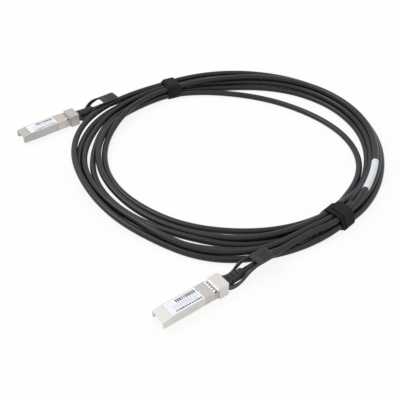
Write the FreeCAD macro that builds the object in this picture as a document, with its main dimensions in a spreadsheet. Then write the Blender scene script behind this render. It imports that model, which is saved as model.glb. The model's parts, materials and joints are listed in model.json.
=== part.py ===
import FreeCAD, Part
import math
import os
import Sketcher

# Direct attach copper cable: two latching plugs joined by a coiled twinaxial cable.
# Lengths are millimetres. +Z is up and the floor is at Z = 0.
# A plug's own frame: +X to the nose, Z = 0 at the underside of its body, X = 0 at the stop face.

SIZES = {
    # Cable
    "cable_diameter": 5.3,
    "cable_axis": 4.25,
    # Plug body
    "body_half_width": 6.7,
    "body_height": 8.5,
    "body_length": 47.5,
    "floor_plate_end": 37.1,
    "floor_plate_top": 1.1,
    "floor_edge_half_width": 5.6,
    "nose_step_start": 40.5,
    "nose_step_height": 8.2,
    "nose_end_height": 7.6,
    "nose_corner_run": 0.9,
    "nose_corner_rise": 0.8,
    "side_wall": 0.8,
    "cavity_top": 7.6,
    "mouth_start": 38.0,
    "mouth_top": 6.8,
    "throat_end": 6.0,
    "throat_half_width": 5.1,
    "throat_top": 6.9,
    # Plug head
    "head_length": 9.0,
    "head_half_width": 7.0,
    "head_top": 9.8,
    "head_drop": 0.95,
    "head_side_wall": 0.65,
    "head_roof": 1.2,
    "head_back_wall": 1.2,
    "head_web": 1.0,
    "head_edge_break": 0.4,
    "head_back_edge_break": 0.9,
    "web_foot_half_width": 6.0,
    "web_foot_top": 1.2,
    # Floor plate details
    "plate_fit": 0.15,
    "head_floor_start": 6.9,
    "head_floor_thick": 0.75,
    "side_block_length": 1.5,
    "side_block_half_width": 5.9,
    "channel_half_width": 3.15,
    "channel_depth": 0.8,
    "channel_end": 9.6,
    "boss_half_width": 1.3,
    "boss_start": 2.5,
    "boss_length": 2.6,
    "boss_height": 0.45,
    "boss_island_margin": 0.5,
    "rail_outer": 5.75,
    "rail_inner": 4.8,
    "rail_height": 0.5,
    "rail_start": 15.0,
    "rail_end": 36.0,
    "ledge_outer": 5.3,
    "ledge_start": 16.0,
    "ledge_end": 30.0,
    # Card
    "card_underside": 2.25,
    "card_thick": 1.0,
    "card_start": 15.5,
    "card_neck": 34.0,
    "card_end": 44.3,
    "card_half_width": 5.5,
    "tongue_half_width": 4.6,
    "clamp_start": 20.0,
    "clamp_end": 26.0,
    "clamp_inner": 4.9,
    "contact_width": 0.6,
    "contact_length": 3.0,
    "contact_thick": 0.05,
    "contact_pitch": 0.8,
    "contact_count": 10,
    "contact_setback": 0.3,
    "chip_start": 24.0,
    "chip_length": 5.0,
    "chip_half_width": 2.0,
    "chip_height": 1.5,
    "chip_part_start": 31.0,
    "chip_part_length": 1.0,
    "chip_part_width": 0.5,
    "chip_part_pitch": 1.5,
    "chip_part_count": 4,
    # Cable end inside the plug
    "ferrule_radius": 3.3,
    "ferrule_start": 7.0,
    "ferrule_end": 1.1,
    "wire_radius": 0.65,
    "wire_inner_offset": 0.75,
    "wire_outer_offset": 2.15,
    "wire_end": 18.0,
    # Boot
    "boot_root_radius": 4.5,
    "boot_root_length": 1.6,
    "boot_taper_start_radius": 4.3,
    "boot_taper_end_radius": 3.7,
    "boot_taper_end": 24.3,
    "boot_collar_radius": 3.9,
    "boot_end": 26.0,
    "boot_neck_radius": 4.0,
    "boot_hole_gap": 0.1,
    "boot_flange_radius": 4.3,
    "boot_grip_length": 8.0,
    "slot_start": 11.8,
    "slot_width": 0.7,
    "slot_pitch": 2.1,
    "slot_depth": 1.0,
    "slot_count": 6,
    # Release slide
    "slide_low": 0.1,
    "slide_sheet": 0.4,
    "slide_back": 4.5,
    "slide_front": 1.8,
    "slide_half_width": 5.4,
    "tine_inner": 1.55,
    "tine_outer": 2.9,
    "tine_end": 7.0,
    "wedge_start": 5.2,
    "wedge_depth": 0.75,
    "ear_inner": 4.35,
    "ear_outer": 4.85,
    "ear_top": 6.0,
    "ear_hole_radius": 0.9,
    "peg_radius": 0.8,
    "peg_tip": 4.3,
    "peg_height": 4.9,
    "peg_setback": 3.2,
    # Return springs
    "spring_radius": 0.62,
    "spring_wire_radius": 0.13,
    "spring_offset": 4.6,
    "spring_height": 1.4,
    "spring_turns": 4.5,
    "spring_end_gap": 0.02,
    # Pull tab
    "tab_front": 2.2,
    "tab_outer": 6.15,
    "tab_inner": 5.05,
    "tab_slot_gap": 0.2,
    "tab_arm_low": 2.4,
    "tab_arm_high": 7.0,
    "tab_window_end": 37.0,
    "tab_end": 52.5,
    "tab_plate_low": 9.4,
    "tab_plate_thick": 1.25,
    "tab_corner": 2.0,
    "tab_rib_start": 43.2,
    "tab_rib_pitch": 2.0,
    "tab_rib_width": 0.7,
    "tab_rib_height": 0.35,
    "tab_rib_count": 4,
    "tab_travel": 2.0,
    # Contact collar and its seat
    "collar_sheet": 0.2,
    "collar_start": 4.2,
    "collar_end": 12.3,
    "collar_low": 1.3,
    "finger_tip": 1.3,
    "finger_recess": 0.6,
    "finger_width": 1.7,
    "finger_pitch": 2.5,
    "finger_count": 5,
    "side_finger_count": 3,
    "side_finger_pitch": 2.2,
    "side_finger_first": 2.4,
    # Label
    "label_start": 12.6,
    "label_end": 39.6,
    "label_half_width": 6.0,
    "label_thick": 0.1,
    # Screws
    "screw_place": 12.5,
    "screw_offset": 4.2,
    "screw_post_radius": 1.1,
    "screw_radius": 0.6,
    "screw_head_radius": 1.0,
    "screw_head_height": 0.45,
    "screw_sink_depth": 0.5,
    "screw_gap": 0.1,
    "screw_end": 4.4,
    # Places of the plugs; turns are clockwise seen from above
    "near_x": 65.2,
    "near_y": -106.44,
    "near_turn": 142.89,
    "far_x": -66.4,
    "far_y": 105.96,
    "far_turn": 143.04,
    # Coil
    "coil_x": 76.7,
    "coil_y": 52.36,
    "coil_height": 13.6,
    "coil_rounding": 2.2,
    # Ties
    "tie_width": 11.0,
    "tie_sheet": 1.2,
    "tie_half_span": 10.7,
    "tie_low": 1.3,
    "tie_high": 11.4,
    "tie_gap": 0.1,
    "tie_cut_reach": 16.0,
    "tie_cut_margin": 0.2,
    "tie_rounding": 3.0,
    "rear_tie_turn": 116.5,
    "rear_tie_radius": 117.0,
    "front_tie_turn": 315.0,
    "front_tie_radius": 118.7,
    "tie_flap_thick": 0.8,
    "tie_flap_start": 4.0,
    "tie_flap_inset": 0.55,
    # Cable label
    "sleeve_start_turn": 336.0,
    "sleeve_end_turn": 354.0,
    "sleeve_start_radius": 123.2,
    "sleeve_end_radius": 128.4,
    "sleeve_half_width": 2.6,
    "sleeve_thick": 0.3,
}

# Coil edges, radius from the coil's centre every thirty degrees from +X
COIL_INNER = [112.0, 103.4, 98.1, 100.8, 106.5, 111.1, 102.4, 96.5, 93.0, 95.5, 102.5, 111.0]
COIL_OUTER = [137.0, 145.0, 144.0, 138.0, 127.0, 131.2, 133.0, 122.0, 121.5, 130.5, 128.0, 129.0]

# Side view of the pull tab's arms, X and Z in the plug's frame
ARM_UPPER = [
    (-9.8, 6.6), (-13.0, 4.6), (-16.9, 3.5), (-20.0, 4.1),
    (-22.4, 5.6), (-25.4, 8.5), (-28.6, 10.2), (-31.8, 10.7),
]
ARM_LOWER = [(-9.8, 1.7), (-14.6, 0.25), (-19.1, 0.9), (-23.7, 3.2), (-27.2, 5.7), (-31.8, 8.0)]

# Route of each cable tail after the boot, hand-chosen
NEAR_ROUTE = [(100.3, -79.9, 6.4), (124.5, -62.9, 8.0), (142.9, -49.5, 8.2)]
FAR_ROUTE = [(-29.6, 133.7, 4.0), (-1.5, 152.5, 3.0), (13.7, 160.0, 3.0)]

PLANES = {"XY": "XY_Plane", "XZ": "XZ_Plane", "YZ": "YZ_Plane"}
STEP_FOLDER = "parts"
ARC_SHARE = 0.45
VOLUME_TOLERANCE = 0.02
TOLERANCE = 1e-3

# Side view of a collar finger from its root: share of its run, share of its bow
FINGER_OUTER = [(0.0, 0.0), (0.3, 0.75), (0.5, 1.0), (0.75, 0.5)]
FINGER_INNER = [(0.75, 0.4), (0.5, 0.9), (0.3, 0.7), (0.0, 0.0)]
BOW_PER_SHEET = 2

doc = FreeCAD.newDocument("direct_attach_cable")
sheet = doc.addObject("Spreadsheet::Sheet", "Sizes")
for row, (alias, amount) in enumerate(SIZES.items(), start=1):
    sheet.set("A%d" % row, alias.replace("_", " "))
    sheet.set("B%d" % row, str(amount))
    sheet.setAlias("B%d" % row, alias)
doc.recompute()


class Size:
    """A sheet value, or a sum or product of sheet values, with its expression."""

    def __init__(self, value, text):
        self.value = value
        self.text = text

    def __add__(self, other):
        other = as_size(other)
        return Size(self.value + other.value, "(%s + %s)" % (self.text, other.text))

    def __sub__(self, other):
        other = as_size(other)
        return Size(self.value - other.value, "(%s - %s)" % (self.text, other.text))

    def __mul__(self, factor):
        factor = as_size(factor)
        return Size(self.value * factor.value, "(%s * %s)" % (self.text, factor.text))

    def __neg__(self):
        return Size(-self.value, "(0 - %s)" % self.text)


def as_size(item):
    """A number, a sheet alias or a Size as a Size."""
    if isinstance(item, Size):
        return item
    if isinstance(item, str):
        return Size(float(sheet.get(item)), "Sizes.%s" % item)
    return Size(float(item), repr(float(item)))


def number(alias):
    """The plain value of one sheet entry."""
    return float(sheet.get(alias))


def rect(a_low, a_high, b_low, b_high):
    """The four corners of a rectangle in a sketch."""
    return [(a_low, b_low), (a_high, b_low), (a_high, b_high), (a_low, b_high)]


def new_body(label):
    """A body with its label; several solids are allowed in it."""
    body = doc.addObject("PartDesign::Body", label)
    body.Label = label
    body.AllowCompound = True
    return body


def new_sketch(body, name, plane, offset):
    """A sketch on one of the body's origin planes, moved along the plane's normal."""
    sketch = body.newObject("Sketcher::SketchObject", name)
    support = [item for item in body.Origin.OriginFeatures if item.Role == PLANES[plane]][0]
    sketch.AttachmentSupport = [(support, "")]
    sketch.MapMode = "FlatFace"
    sketch.AttachmentOffset = FreeCAD.Placement(FreeCAD.Vector(0, 0, offset.value), FreeCAD.Rotation())
    sketch.setExpression("AttachmentOffset.Base.z", offset.text)
    return sketch


def hold_point(sketch, geometry, end, a, b):
    """Tie one point of a sketch to the origin by two bound distances."""
    for kind, size in (("DistanceX", a), ("DistanceY", b)):
        index = sketch.addConstraint(Sketcher.Constraint(kind, -1, 1, geometry, end, size.value))
        sketch.setExpression("Constraints[%d]" % index, size.text)


def draw_outline(sketch, outline):
    """Add a closed polygon whose corners are bound to the sheet."""
    corners = [(as_size(a), as_size(b)) for a, b in outline]
    count = len(corners)
    first = sketch.GeometryCount
    for i in range(count):
        start = FreeCAD.Vector(corners[i][0].value, corners[i][1].value, 0)
        end = FreeCAD.Vector(corners[(i + 1) % count][0].value, corners[(i + 1) % count][1].value, 0)
        sketch.addGeometry(Part.LineSegment(start, end), False)
    for i in range(count):
        sketch.addConstraint(Sketcher.Constraint("Coincident", first + i, 2, first + (i + 1) % count, 1))
    for i in range(count):
        hold_point(sketch, first + i, 1, corners[i][0], corners[i][1])


def draw_circle(sketch, a, b, radius):
    """Add a circle whose centre and radius are bound to the sheet."""
    a, b, radius = as_size(a), as_size(b), as_size(radius)
    centre = FreeCAD.Vector(a.value, b.value, 0)
    shape = Part.Circle(centre, FreeCAD.Vector(0, 0, 1), radius.value)
    index = sketch.addGeometry(shape, False)
    hold_point(sketch, index, 3, a, b)
    held = sketch.addConstraint(Sketcher.Constraint("Radius", index, radius.value))
    sketch.setExpression("Constraints[%d]" % held, radius.text)


def extrude(body, name, plane, low, high, outlines=(), circles=(), cut=False):
    """Pad or pocket outlines and circles between two levels along the plane's axis."""
    low, high = as_size(low), as_size(high)
    offset = -high if plane == "XZ" else low
    length = high - low
    sketch = new_sketch(body, name + "_sketch", plane, offset)
    for outline in outlines:
        draw_outline(sketch, outline)
    for a, b, radius in circles:
        draw_circle(sketch, a, b, radius)
    before = body.Shape.Volume if cut else 0.0
    kind = "PartDesign::Pocket" if cut else "PartDesign::Pad"
    feature = body.newObject(kind, name)
    feature.Profile = sketch
    feature.Length = length.value
    feature.setExpression("Length", length.text)
    if cut:
        feature.Reversed = True
    sketch.Visibility = False
    doc.recompute()
    if cut and not body.Shape.Volume < before:
        raise ValueError("pocket removed nothing: " + name)
    return feature


def revolve(body, name, outline):
    """Turn an outline of axial and radial distances about the sketch's horizontal axis."""
    sketch = new_sketch(body, name + "_sketch", "XZ", as_size(0))
    draw_outline(sketch, outline)
    feature = body.newObject("PartDesign::Revolution", name)
    feature.Profile = sketch
    feature.ReferenceAxis = (sketch, ["H_Axis"])
    feature.Angle = 360
    sketch.Visibility = False
    doc.recompute()
    return feature


def break_edges(body, name, feature, chosen, size):
    """Chamfer the edges of a feature that a test picks."""
    size = as_size(size)
    names = []
    for i, edge in enumerate(feature.Shape.Edges, start=1):
        if chosen(edge):
            names.append("Edge%d" % i)
    chamfer = body.newObject("PartDesign::Chamfer", name)
    chamfer.Base = (feature, names)
    chamfer.Size = size.value
    chamfer.setExpression("Size", size.text)
    doc.recompute()
    return chamfer


def edge_at(edge, **limits):
    """Whether an edge's middle lies at the stated x, y or z, and it is straight."""
    box = edge.BoundBox
    middle = {"x": (box.XMin + box.XMax) / 2, "y": (box.YMin + box.YMax) / 2, "z": (box.ZMin + box.ZMax) / 2}
    return all(abs(middle[key] - value) < TOLERANCE for key, value in limits.items())


def place(item, side, raised=None):
    """Put a plug's piece at its plug's place, turn and height."""
    height = as_size("head_drop")
    if raised is not None:
        height = height + as_size(raised)
    turn = as_size(side + "_turn")
    east, north = as_size(side + "_x"), as_size(side + "_y")
    axis = FreeCAD.Rotation(FreeCAD.Vector(0, 0, -1), turn.value)
    item.Placement = FreeCAD.Placement(FreeCAD.Vector(east.value, north.value, height.value), axis)
    item.setExpression("Placement.Base.x", east.text)
    item.setExpression("Placement.Base.y", north.text)
    item.setExpression("Placement.Base.z", height.text)
    item.setExpression("Placement.Rotation.Angle", turn.text)


def block(name, x_low, x_high, y_low, y_high, z_low, z_high):
    """A box between six bound levels."""
    box = doc.addObject("Part::Box", name)
    for axis, size_name, low, high in (
        ("x", "Length", x_low, x_high), ("y", "Width", y_low, y_high), ("z", "Height", z_low, z_high),
    ):
        low, high = as_size(low), as_size(high)
        span = high - low
        setattr(box, size_name, span.value)
        box.setExpression(size_name, span.text)
        box.setExpression("Placement.Base." + axis, low.text)
    return box


def rod(name, x, y, z_low, z_high, radius):
    """An upright cylinder between two bound levels."""
    cylinder = doc.addObject("Part::Cylinder", name)
    z_low, z_high, radius = as_size(z_low), as_size(z_high), as_size(radius)
    span = z_high - z_low
    cylinder.setExpression("Radius", radius.text)
    cylinder.setExpression("Height", span.text)
    for axis, size in (("x", as_size(x)), ("y", as_size(y)), ("z", z_low)):
        cylinder.setExpression("Placement.Base." + axis, size.text)
    return cylinder


def gather(name, items):
    """Hold several separate solids as one piece."""
    group = doc.addObject("Part::Compound", name)
    group.Label = name
    group.Links = items
    doc.recompute()
    return group


def free_shape(name, shape):
    """A piece whose free curves are made in code from the sheet's values."""
    feature = doc.addObject("Part::Feature", name)
    feature.Label = name
    feature.Shape = shape
    return feature


def build_upper_shell(side):
    """Die-cast cover of the body with the head behind it."""
    label = side + "_upper_shell"
    body = new_body(label)
    half = as_size("body_half_width")
    top = as_size("body_height")
    low = as_size("floor_plate_top")
    length = as_size("body_length")
    side_view = [
        (0, low),
        (length - "nose_corner_run", low),
        (length, low + "nose_corner_rise"),
        (length, "nose_end_height"),
        ("nose_step_start", "nose_step_height"),
        ("nose_step_start", top),
        (0, top),
    ]
    extrude(body, label + "_body", "XZ", -half, half, [side_view])
    head_half = as_size("head_half_width")
    head_low = -as_size("head_drop")
    head_back = -as_size("head_length")
    head_view = rect(head_back, 0, head_low, "head_top")
    head = extrude(body, label + "_head", "XZ", -head_half, head_half, [head_view])
    back = head_back.value
    break_edges(
        body, label + "_head_back_edges", head,
        lambda edge: edge_at(edge, x=back, y=head_half.value) or edge_at(edge, x=back, y=-head_half.value),
        "head_back_edge_break",
    )
    crown = number("head_top")
    breaks = body.Tip
    break_edges(
        body, label + "_head_top_edges", breaks,
        lambda edge: edge_at(edge, z=crown), "head_edge_break",
    )
    cavity_half = half - "side_wall"
    below = low - "head_drop"
    cavity_view = [
        ("throat_end", below),
        (length + "side_wall", below),
        (length + "side_wall", "mouth_top"),
        ("mouth_start", "mouth_top"),
        ("mouth_start", "cavity_top"),
        ("throat_end", "cavity_top"),
    ]
    extrude(body, label + "_cavity", "XZ", -cavity_half, cavity_half, [cavity_view], cut=True)
    web_back = -as_size("head_web")
    throat = rect(web_back, "throat_end", below, "throat_top")
    throat_half = as_size("throat_half_width")
    extrude(body, label + "_throat", "XZ", -throat_half, throat_half, [throat], cut=True)
    inner_half = head_half - "head_side_wall"
    room = rect(head_back + "head_back_wall", web_back, head_low, as_size("head_top") - "head_roof")
    extrude(body, label + "_head_room", "XZ", -inner_half, inner_half, [room], cut=True)
    foot_half = as_size("web_foot_half_width")
    foot = rect(web_back, 0, head_low, "web_foot_top")
    extrude(body, label + "_web_foot", "XZ", -foot_half, foot_half, [foot], cut=True)
    hole = as_size("boot_neck_radius") + "boot_hole_gap"
    wall_front = head_back + "head_back_wall"
    extrude(body, label + "_boot_hole", "YZ", head_back, wall_front,
            circles=[(0, "cable_axis", hole)], cut=True)
    slot_in = as_size("tab_inner") - "tab_slot_gap"
    slot_out = as_size("tab_outer") + "tab_slot_gap"
    slot_low = as_size("tab_arm_low") - "tab_slot_gap"
    slot_high = as_size("tab_arm_high") + "tab_slot_gap"
    slots = [rect(slot_in, slot_out, slot_low, slot_high), rect(-slot_out, -slot_in, slot_low, slot_high)]
    extrude(body, label + "_arm_slots", "YZ", head_back, wall_front, slots, cut=True)
    seats = (
        ("seat", "collar_start", "collar_end", "collar_sheet"),
        ("finger_room", 0, "collar_start", "finger_recess"),
    )
    reach = half * 2
    for word, start, end, depth in seats:
        inner, roof = half - depth, top - depth
        ring = [
            (-reach, "collar_low"), (-inner, "collar_low"), (-inner, roof), (inner, roof),
            (inner, "collar_low"), (reach, "collar_low"), (reach, top * 2), (-reach, top * 2),
        ]
        extrude(body, label + "_collar_" + word, "YZ", start, end, [ring], cut=True)
    clamp_low = as_size("card_underside") + "card_thick"
    clamps = [rect("clamp_inner", cavity_half, clamp_low, "cavity_top"),
              rect(-cavity_half, -as_size("clamp_inner"), clamp_low, "cavity_top")]
    extrude(body, label + "_card_clamps", "YZ", "clamp_start", "clamp_end", clamps)
    posts = [("screw_place", as_size("screw_offset") * sign, "screw_post_radius") for sign in (1, -1)]
    extrude(body, label + "_posts", "XY", low, "cavity_top", circles=posts)
    bores = [("screw_place", as_size("screw_offset") * sign, "screw_radius") for sign in (1, -1)]
    extrude(body, label + "_post_bores", "XY", low, as_size("screw_end") + "screw_gap", circles=bores, cut=True)
    place(body, side)
    return body


def build_lower_shell(side):
    """Floor plate with the latch boss, the slide's channel and the head's floor."""
    label = side + "_lower_shell"
    body = new_body(label)
    top = as_size("floor_plate_top")
    half, edge = as_size("body_half_width"), as_size("floor_edge_half_width")
    plate = [(-edge, 0), (edge, 0), (half, top), (-half, top)]
    extrude(body, label + "_plate", "YZ", 0, "floor_plate_end", [plate])
    head_low = -as_size("head_drop")
    block_back = -as_size("side_block_length")
    channel, outer = as_size("channel_half_width"), as_size("side_block_half_width")
    blocks = [rect(channel, outer, head_low, top), rect(-outer, -channel, head_low, top)]
    extrude(body, label + "_side_blocks", "YZ", block_back, 0, blocks)
    floor_half = as_size("head_half_width") - "head_side_wall" - "plate_fit"
    floor_view = rect(-as_size("head_floor_start"), block_back, head_low, head_low + "head_floor_thick")
    extrude(body, label + "_head_floor", "XZ", -floor_half, floor_half, [floor_view])
    groove = rect(0, "channel_end", 0, "channel_depth")
    extrude(body, label + "_channel", "XZ", -channel, channel, [groove], cut=True)
    boss = as_size("boss_half_width")
    island = rect(as_size("boss_start") - "boss_island_margin",
                  as_size("boss_start") + "boss_length" + "boss_island_margin", 0, "channel_depth")
    extrude(body, label + "_boss_island", "XZ", -boss, boss, [island])
    boss_end = as_size("boss_start") + "boss_length"
    wedge = [("boss_start", 0), ("boss_start", -as_size("boss_height")), (boss_end, 0)]
    extrude(body, label + "_latch_boss", "XZ", -boss, boss, [wedge])
    inner = as_size("rail_inner")
    rails = [rect(inner, "rail_outer", top, top + "rail_height"),
             rect(-as_size("rail_outer"), -inner, top, top + "rail_height")]
    extrude(body, label + "_rails", "YZ", "rail_start", "rail_end", rails)
    ledge = as_size("ledge_outer")
    ledges = [rect(inner, ledge, top + "rail_height", "card_underside"),
              rect(-ledge, -inner, top + "rail_height", "card_underside")]
    extrude(body, label + "_card_ledges", "YZ", "ledge_start", "ledge_end", ledges)
    spots = [("screw_place", as_size("screw_offset") * sign) for sign in (1, -1)]
    sinks = [(x, y, as_size("screw_head_radius") + "screw_gap") for x, y in spots]
    extrude(body, label + "_screw_sinks", "XY", 0, "screw_sink_depth", circles=sinks, cut=True)
    holes = [(x, y, as_size("screw_radius") + "screw_gap") for x, y in spots]
    extrude(body, label + "_screw_holes", "XY", 0, top, circles=holes, cut=True)
    place(body, side)
    return body


def build_slider(side):
    """Stamped release slide: cross plate, two wedge tines and two ears."""
    label = side + "_slider"
    body = new_body(label)
    low = as_size("slide_low")
    high = low + "slide_sheet"
    back, front = -as_size("slide_back"), -as_size("slide_front")
    half = as_size("slide_half_width")
    extrude(body, label + "_plate", "XY", low, high, [rect(back, front, -half, half)])
    inner, outer = as_size("tine_inner"), as_size("tine_outer")
    tines = [rect(front, "tine_end", inner, outer), rect(front, "tine_end", -outer, -inner)]
    extrude(body, label + "_tines", "XY", low, high, tines)
    wedge = [("wedge_start", low), ("tine_end", low), ("tine_end", -as_size("wedge_depth"))]
    for word, a, b in (("left", inner, outer), ("right", -outer, -inner)):
        extrude(body, label + "_wedge_" + word, "XZ", a, b, [wedge])
    ear_view = rect(back, front, high, "ear_top")
    hole = (-as_size("peg_setback"), "peg_height", "ear_hole_radius")
    for word, sign in (("left", 1), ("right", -1)):
        a, b = as_size("ear_inner") * sign, as_size("ear_outer") * sign
        a, b = (a, b) if sign > 0 else (b, a)
        extrude(body, label + "_ear_" + word, "XZ", a, b, [ear_view])
        extrude(body, label + "_ear_hole_" + word, "XZ", a, b, circles=[hole], cut=True)
    place(body, side)
    return body


def build_pull_tab(side):
    """Moulded pull tab: two shaped arms, a ribbed grip and two pegs for the slide."""
    label = side + "_pull_tab"
    front, end = -number("tab_front"), -number("tab_end")
    outer, inner = number("tab_outer"), number("tab_inner")
    plate_low = number("tab_plate_low")
    plate_high = plate_low + number("tab_plate_thick")
    window_end = -number("tab_window_end")

    def point(x, z):
        return FreeCAD.Vector(x, -outer, z)

    head_back = -number("head_length")
    high, low = number("tab_arm_high"), number("tab_arm_low")
    upper = [point(x, z) for x, z in ARM_UPPER] + [point(window_end, plate_high)]
    lower = [point(x, z) for x, z in ARM_LOWER] + [point(window_end, plate_low)]
    upper_curve = Part.BSplineCurve()
    upper_curve.interpolate(upper)
    lower_curve = Part.BSplineCurve()
    lower_curve.interpolate(lower)
    edges = [
        Part.makeLine(point(front, low), point(front, high)),
        Part.makeLine(point(front, high), point(head_back, high)),
        Part.makeLine(point(head_back, high), upper[0]),
        upper_curve.toShape(),
        Part.makeLine(upper[-1], point(end, plate_high)),
        Part.makeLine(point(end, plate_high), point(end, plate_low)),
        Part.makeLine(point(end, plate_low), lower[-1]),
        lower_curve.toShape(),
        Part.makeLine(lower[0], point(head_back, low)),
        Part.makeLine(point(head_back, low), point(front, low)),
    ]
    wire = Part.Wire(Part.__sortEdges__(edges))
    solid = Part.Face(wire).extrude(FreeCAD.Vector(0, 2 * outer, 0))
    margin = number("tab_corner")
    window = Part.makeBox(
        front - window_end + margin, 2 * inner, plate_high * 2, FreeCAD.Vector(window_end, -inner, -margin),
    )
    corner = [
        edge for edge in window.Edges
        if edge_at(edge, x=window_end, y=inner) or edge_at(edge, x=window_end, y=-inner)
    ]
    window = window.makeFillet(number("tab_corner"), corner)
    solid = solid.cut(window)
    tips = [edge for edge in solid.Edges if edge_at(edge, x=end, y=outer) or edge_at(edge, x=end, y=-outer)]
    solid = solid.makeFillet(number("tab_corner"), tips)
    rib_half = inner - number("tab_rib_width")
    pieces = []
    for i in range(int(number("tab_rib_count"))):
        x = -number("tab_rib_start") - i * number("tab_rib_pitch")
        rib_low = plate_high - number("tab_rib_height")
        corner_point = FreeCAD.Vector(x - number("tab_rib_width"), -rib_half, rib_low)
        pieces.append(Part.makeBox(
            number("tab_rib_width"), 2 * rib_half, 2 * number("tab_rib_height"), corner_point,
        ))
    peg_x, peg_z = -number("peg_setback"), number("peg_height")
    peg_length = inner - number("peg_tip") + number("tab_slot_gap")
    for sign in (1, -1):
        start = FreeCAD.Vector(peg_x, sign * number("peg_tip"), peg_z)
        pieces.append(Part.makeCylinder(number("peg_radius"), peg_length, start, FreeCAD.Vector(0, sign, 0)))
    tab = free_shape(label, solid.fuse(pieces).removeSplitter())
    place(tab, side)
    return tab


def build_springs(side):
    """Two return springs lying behind the slide's ears."""
    label = side + "_return_springs"
    start = -number("head_length") + number("head_back_wall") + number("spring_end_gap")
    wire, radius = number("spring_wire_radius"), number("spring_radius")
    length = -number("slide_back") - number("spring_end_gap") - start - 2 * wire
    pitch = length / number("spring_turns")
    springs = []
    for sign in (1, -1):
        helix = Part.makeHelix(pitch, length, radius)
        circle = Part.makeCircle(wire, FreeCAD.Vector(radius, 0, 0), FreeCAD.Vector(0, 1, 0))
        coil = Part.Wire(helix).makePipeShell([Part.Wire(circle)], True, True)
        turn = FreeCAD.Rotation(FreeCAD.Vector(0, 1, 0), 90)
        spot = FreeCAD.Vector(start + wire, sign * number("spring_offset"), number("spring_height"))
        coil.Placement = FreeCAD.Placement(spot, turn)
        springs.append(coil)
    item = free_shape(label, Part.makeCompound(springs))
    place(item, side)
    return item


def build_boot(side):
    """Flexible boot behind the head, turned, with staggered relief slots."""
    label = side + "_boot"
    body = new_body(label)
    head_back = -as_size("head_length")
    wall_front = head_back + "head_back_wall"
    root_end = head_back - "boot_root_length"
    bore_end = -as_size("boot_end") + "boot_grip_length"
    bore = as_size("cable_diameter") * 0.5
    profile = [
        (-as_size("ferrule_start"), 0),
        (-as_size("ferrule_start"), "boot_flange_radius"),
        (wall_front, "boot_flange_radius"),
        (wall_front, "boot_neck_radius"),
        (head_back, "boot_neck_radius"),
        (head_back, "boot_root_radius"),
        (root_end, "boot_root_radius"),
        (root_end, "boot_taper_start_radius"),
        (-as_size("boot_taper_end"), "boot_taper_end_radius"),
        (-as_size("boot_taper_end"), "boot_collar_radius"),
        (-as_size("boot_end"), "boot_collar_radius"),
        (-as_size("boot_end"), bore),
        (bore_end, bore),
        (bore_end, 0),
    ]
    revolve(body, label + "_turned", profile)
    reach = as_size("boot_root_radius")
    for i in range(int(number("slot_count"))):
        start = -(as_size("slot_start") + as_size("slot_pitch") * i)
        floor = as_size("boot_taper_end_radius") - as_size("slot_depth") * 0.5
        plane = "XZ" if i % 2 == 0 else "XY"
        width = start - "slot_width"
        outlines = [rect(width, start, floor, reach), rect(width, start, -reach, -floor)]
        extrude(body, "%s_slot_%d" % (label, i + 1), plane, -reach, reach, outlines, cut=True)
    place(body, side, "cable_axis")
    return body


def build_ferrule(side):
    """Crimped sleeve on the cable's end inside the head."""
    label = side + "_ferrule"
    body = new_body(label)
    start, end = -as_size("ferrule_start"), -as_size("ferrule_end")
    revolve(body, label + "_turned", rect(start, end, 0, "ferrule_radius"))
    place(body, side, "cable_axis")
    return body


def build_card(side):
    """Circuit card with a narrower tongue at the mouth."""
    label = side + "_paddle_card"
    body = new_body(label)
    wide, tongue = as_size("card_half_width"), as_size("tongue_half_width")
    plan = [
        ("card_start", -wide), ("card_neck", -wide), ("card_neck", -tongue), ("card_end", -tongue),
        ("card_end", tongue), ("card_neck", tongue), ("card_neck", wide), ("card_start", wide),
    ]
    low = as_size("card_underside")
    extrude(body, label + "_board", "XY", low, low + "card_thick", [plan])
    place(body, side)
    return body


def build_contacts(side):
    """Edge contacts on both faces of the card's tongue."""
    label = side + "_card_contacts"
    count = int(number("contact_count"))
    low = as_size("card_underside")
    high = low + "card_thick"
    end = as_size("card_end") - "contact_setback"
    pads = []
    for face, z_low, z_high in (("under", low - "contact_thick", low), ("top", high, high + "contact_thick")):
        for i in range(count):
            middle = as_size("contact_pitch") * (i - (count - 1) / 2)
            half = as_size("contact_width") * 0.5
            name = "%s_%s_%d" % (label, face, i + 1)
            pads.append(block(name, end - "contact_length", end, middle - half, middle + half, z_low, z_high))
    group = gather(label, pads)
    place(group, side)
    return group


def build_card_parts(side):
    """Memory chip and small passives on the card."""
    label = side + "_card_parts"
    top = as_size("card_underside") + "card_thick"
    chip = as_size("chip_start")
    half = as_size("chip_half_width")
    parts = [block(label + "_chip", chip, chip + "chip_length", -half, half, top, top + "chip_height")]
    count = int(number("chip_part_count"))
    start = as_size("chip_part_start")
    for i in range(count):
        middle = as_size("chip_part_pitch") * (i - (count - 1) / 2)
        side_half = as_size("chip_part_width") * 0.5
        name = "%s_passive_%d" % (label, i + 1)
        parts.append(block(name, start, start + "chip_part_length", middle - side_half, middle + side_half,
                           top, top + "chip_part_width"))
    group = gather(label, parts)
    place(group, side)
    return group


def build_wires(side):
    """Insulated conductors of the twinaxial pairs, from the ferrule onto the card."""
    label = side + "_wire_pairs"
    body = new_body(label)
    height = as_size("card_underside") + "card_thick" + "wire_radius"
    names = ("wire_inner_offset", "wire_outer_offset")
    offsets = [as_size(name) * sign for name in names for sign in (1, -1)]
    circles = [(offset, height, "wire_radius") for offset in offsets]
    extrude(body, label + "_cores", "YZ", -as_size("ferrule_end"), "wire_end", circles=circles)
    place(body, side)
    return body


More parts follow.
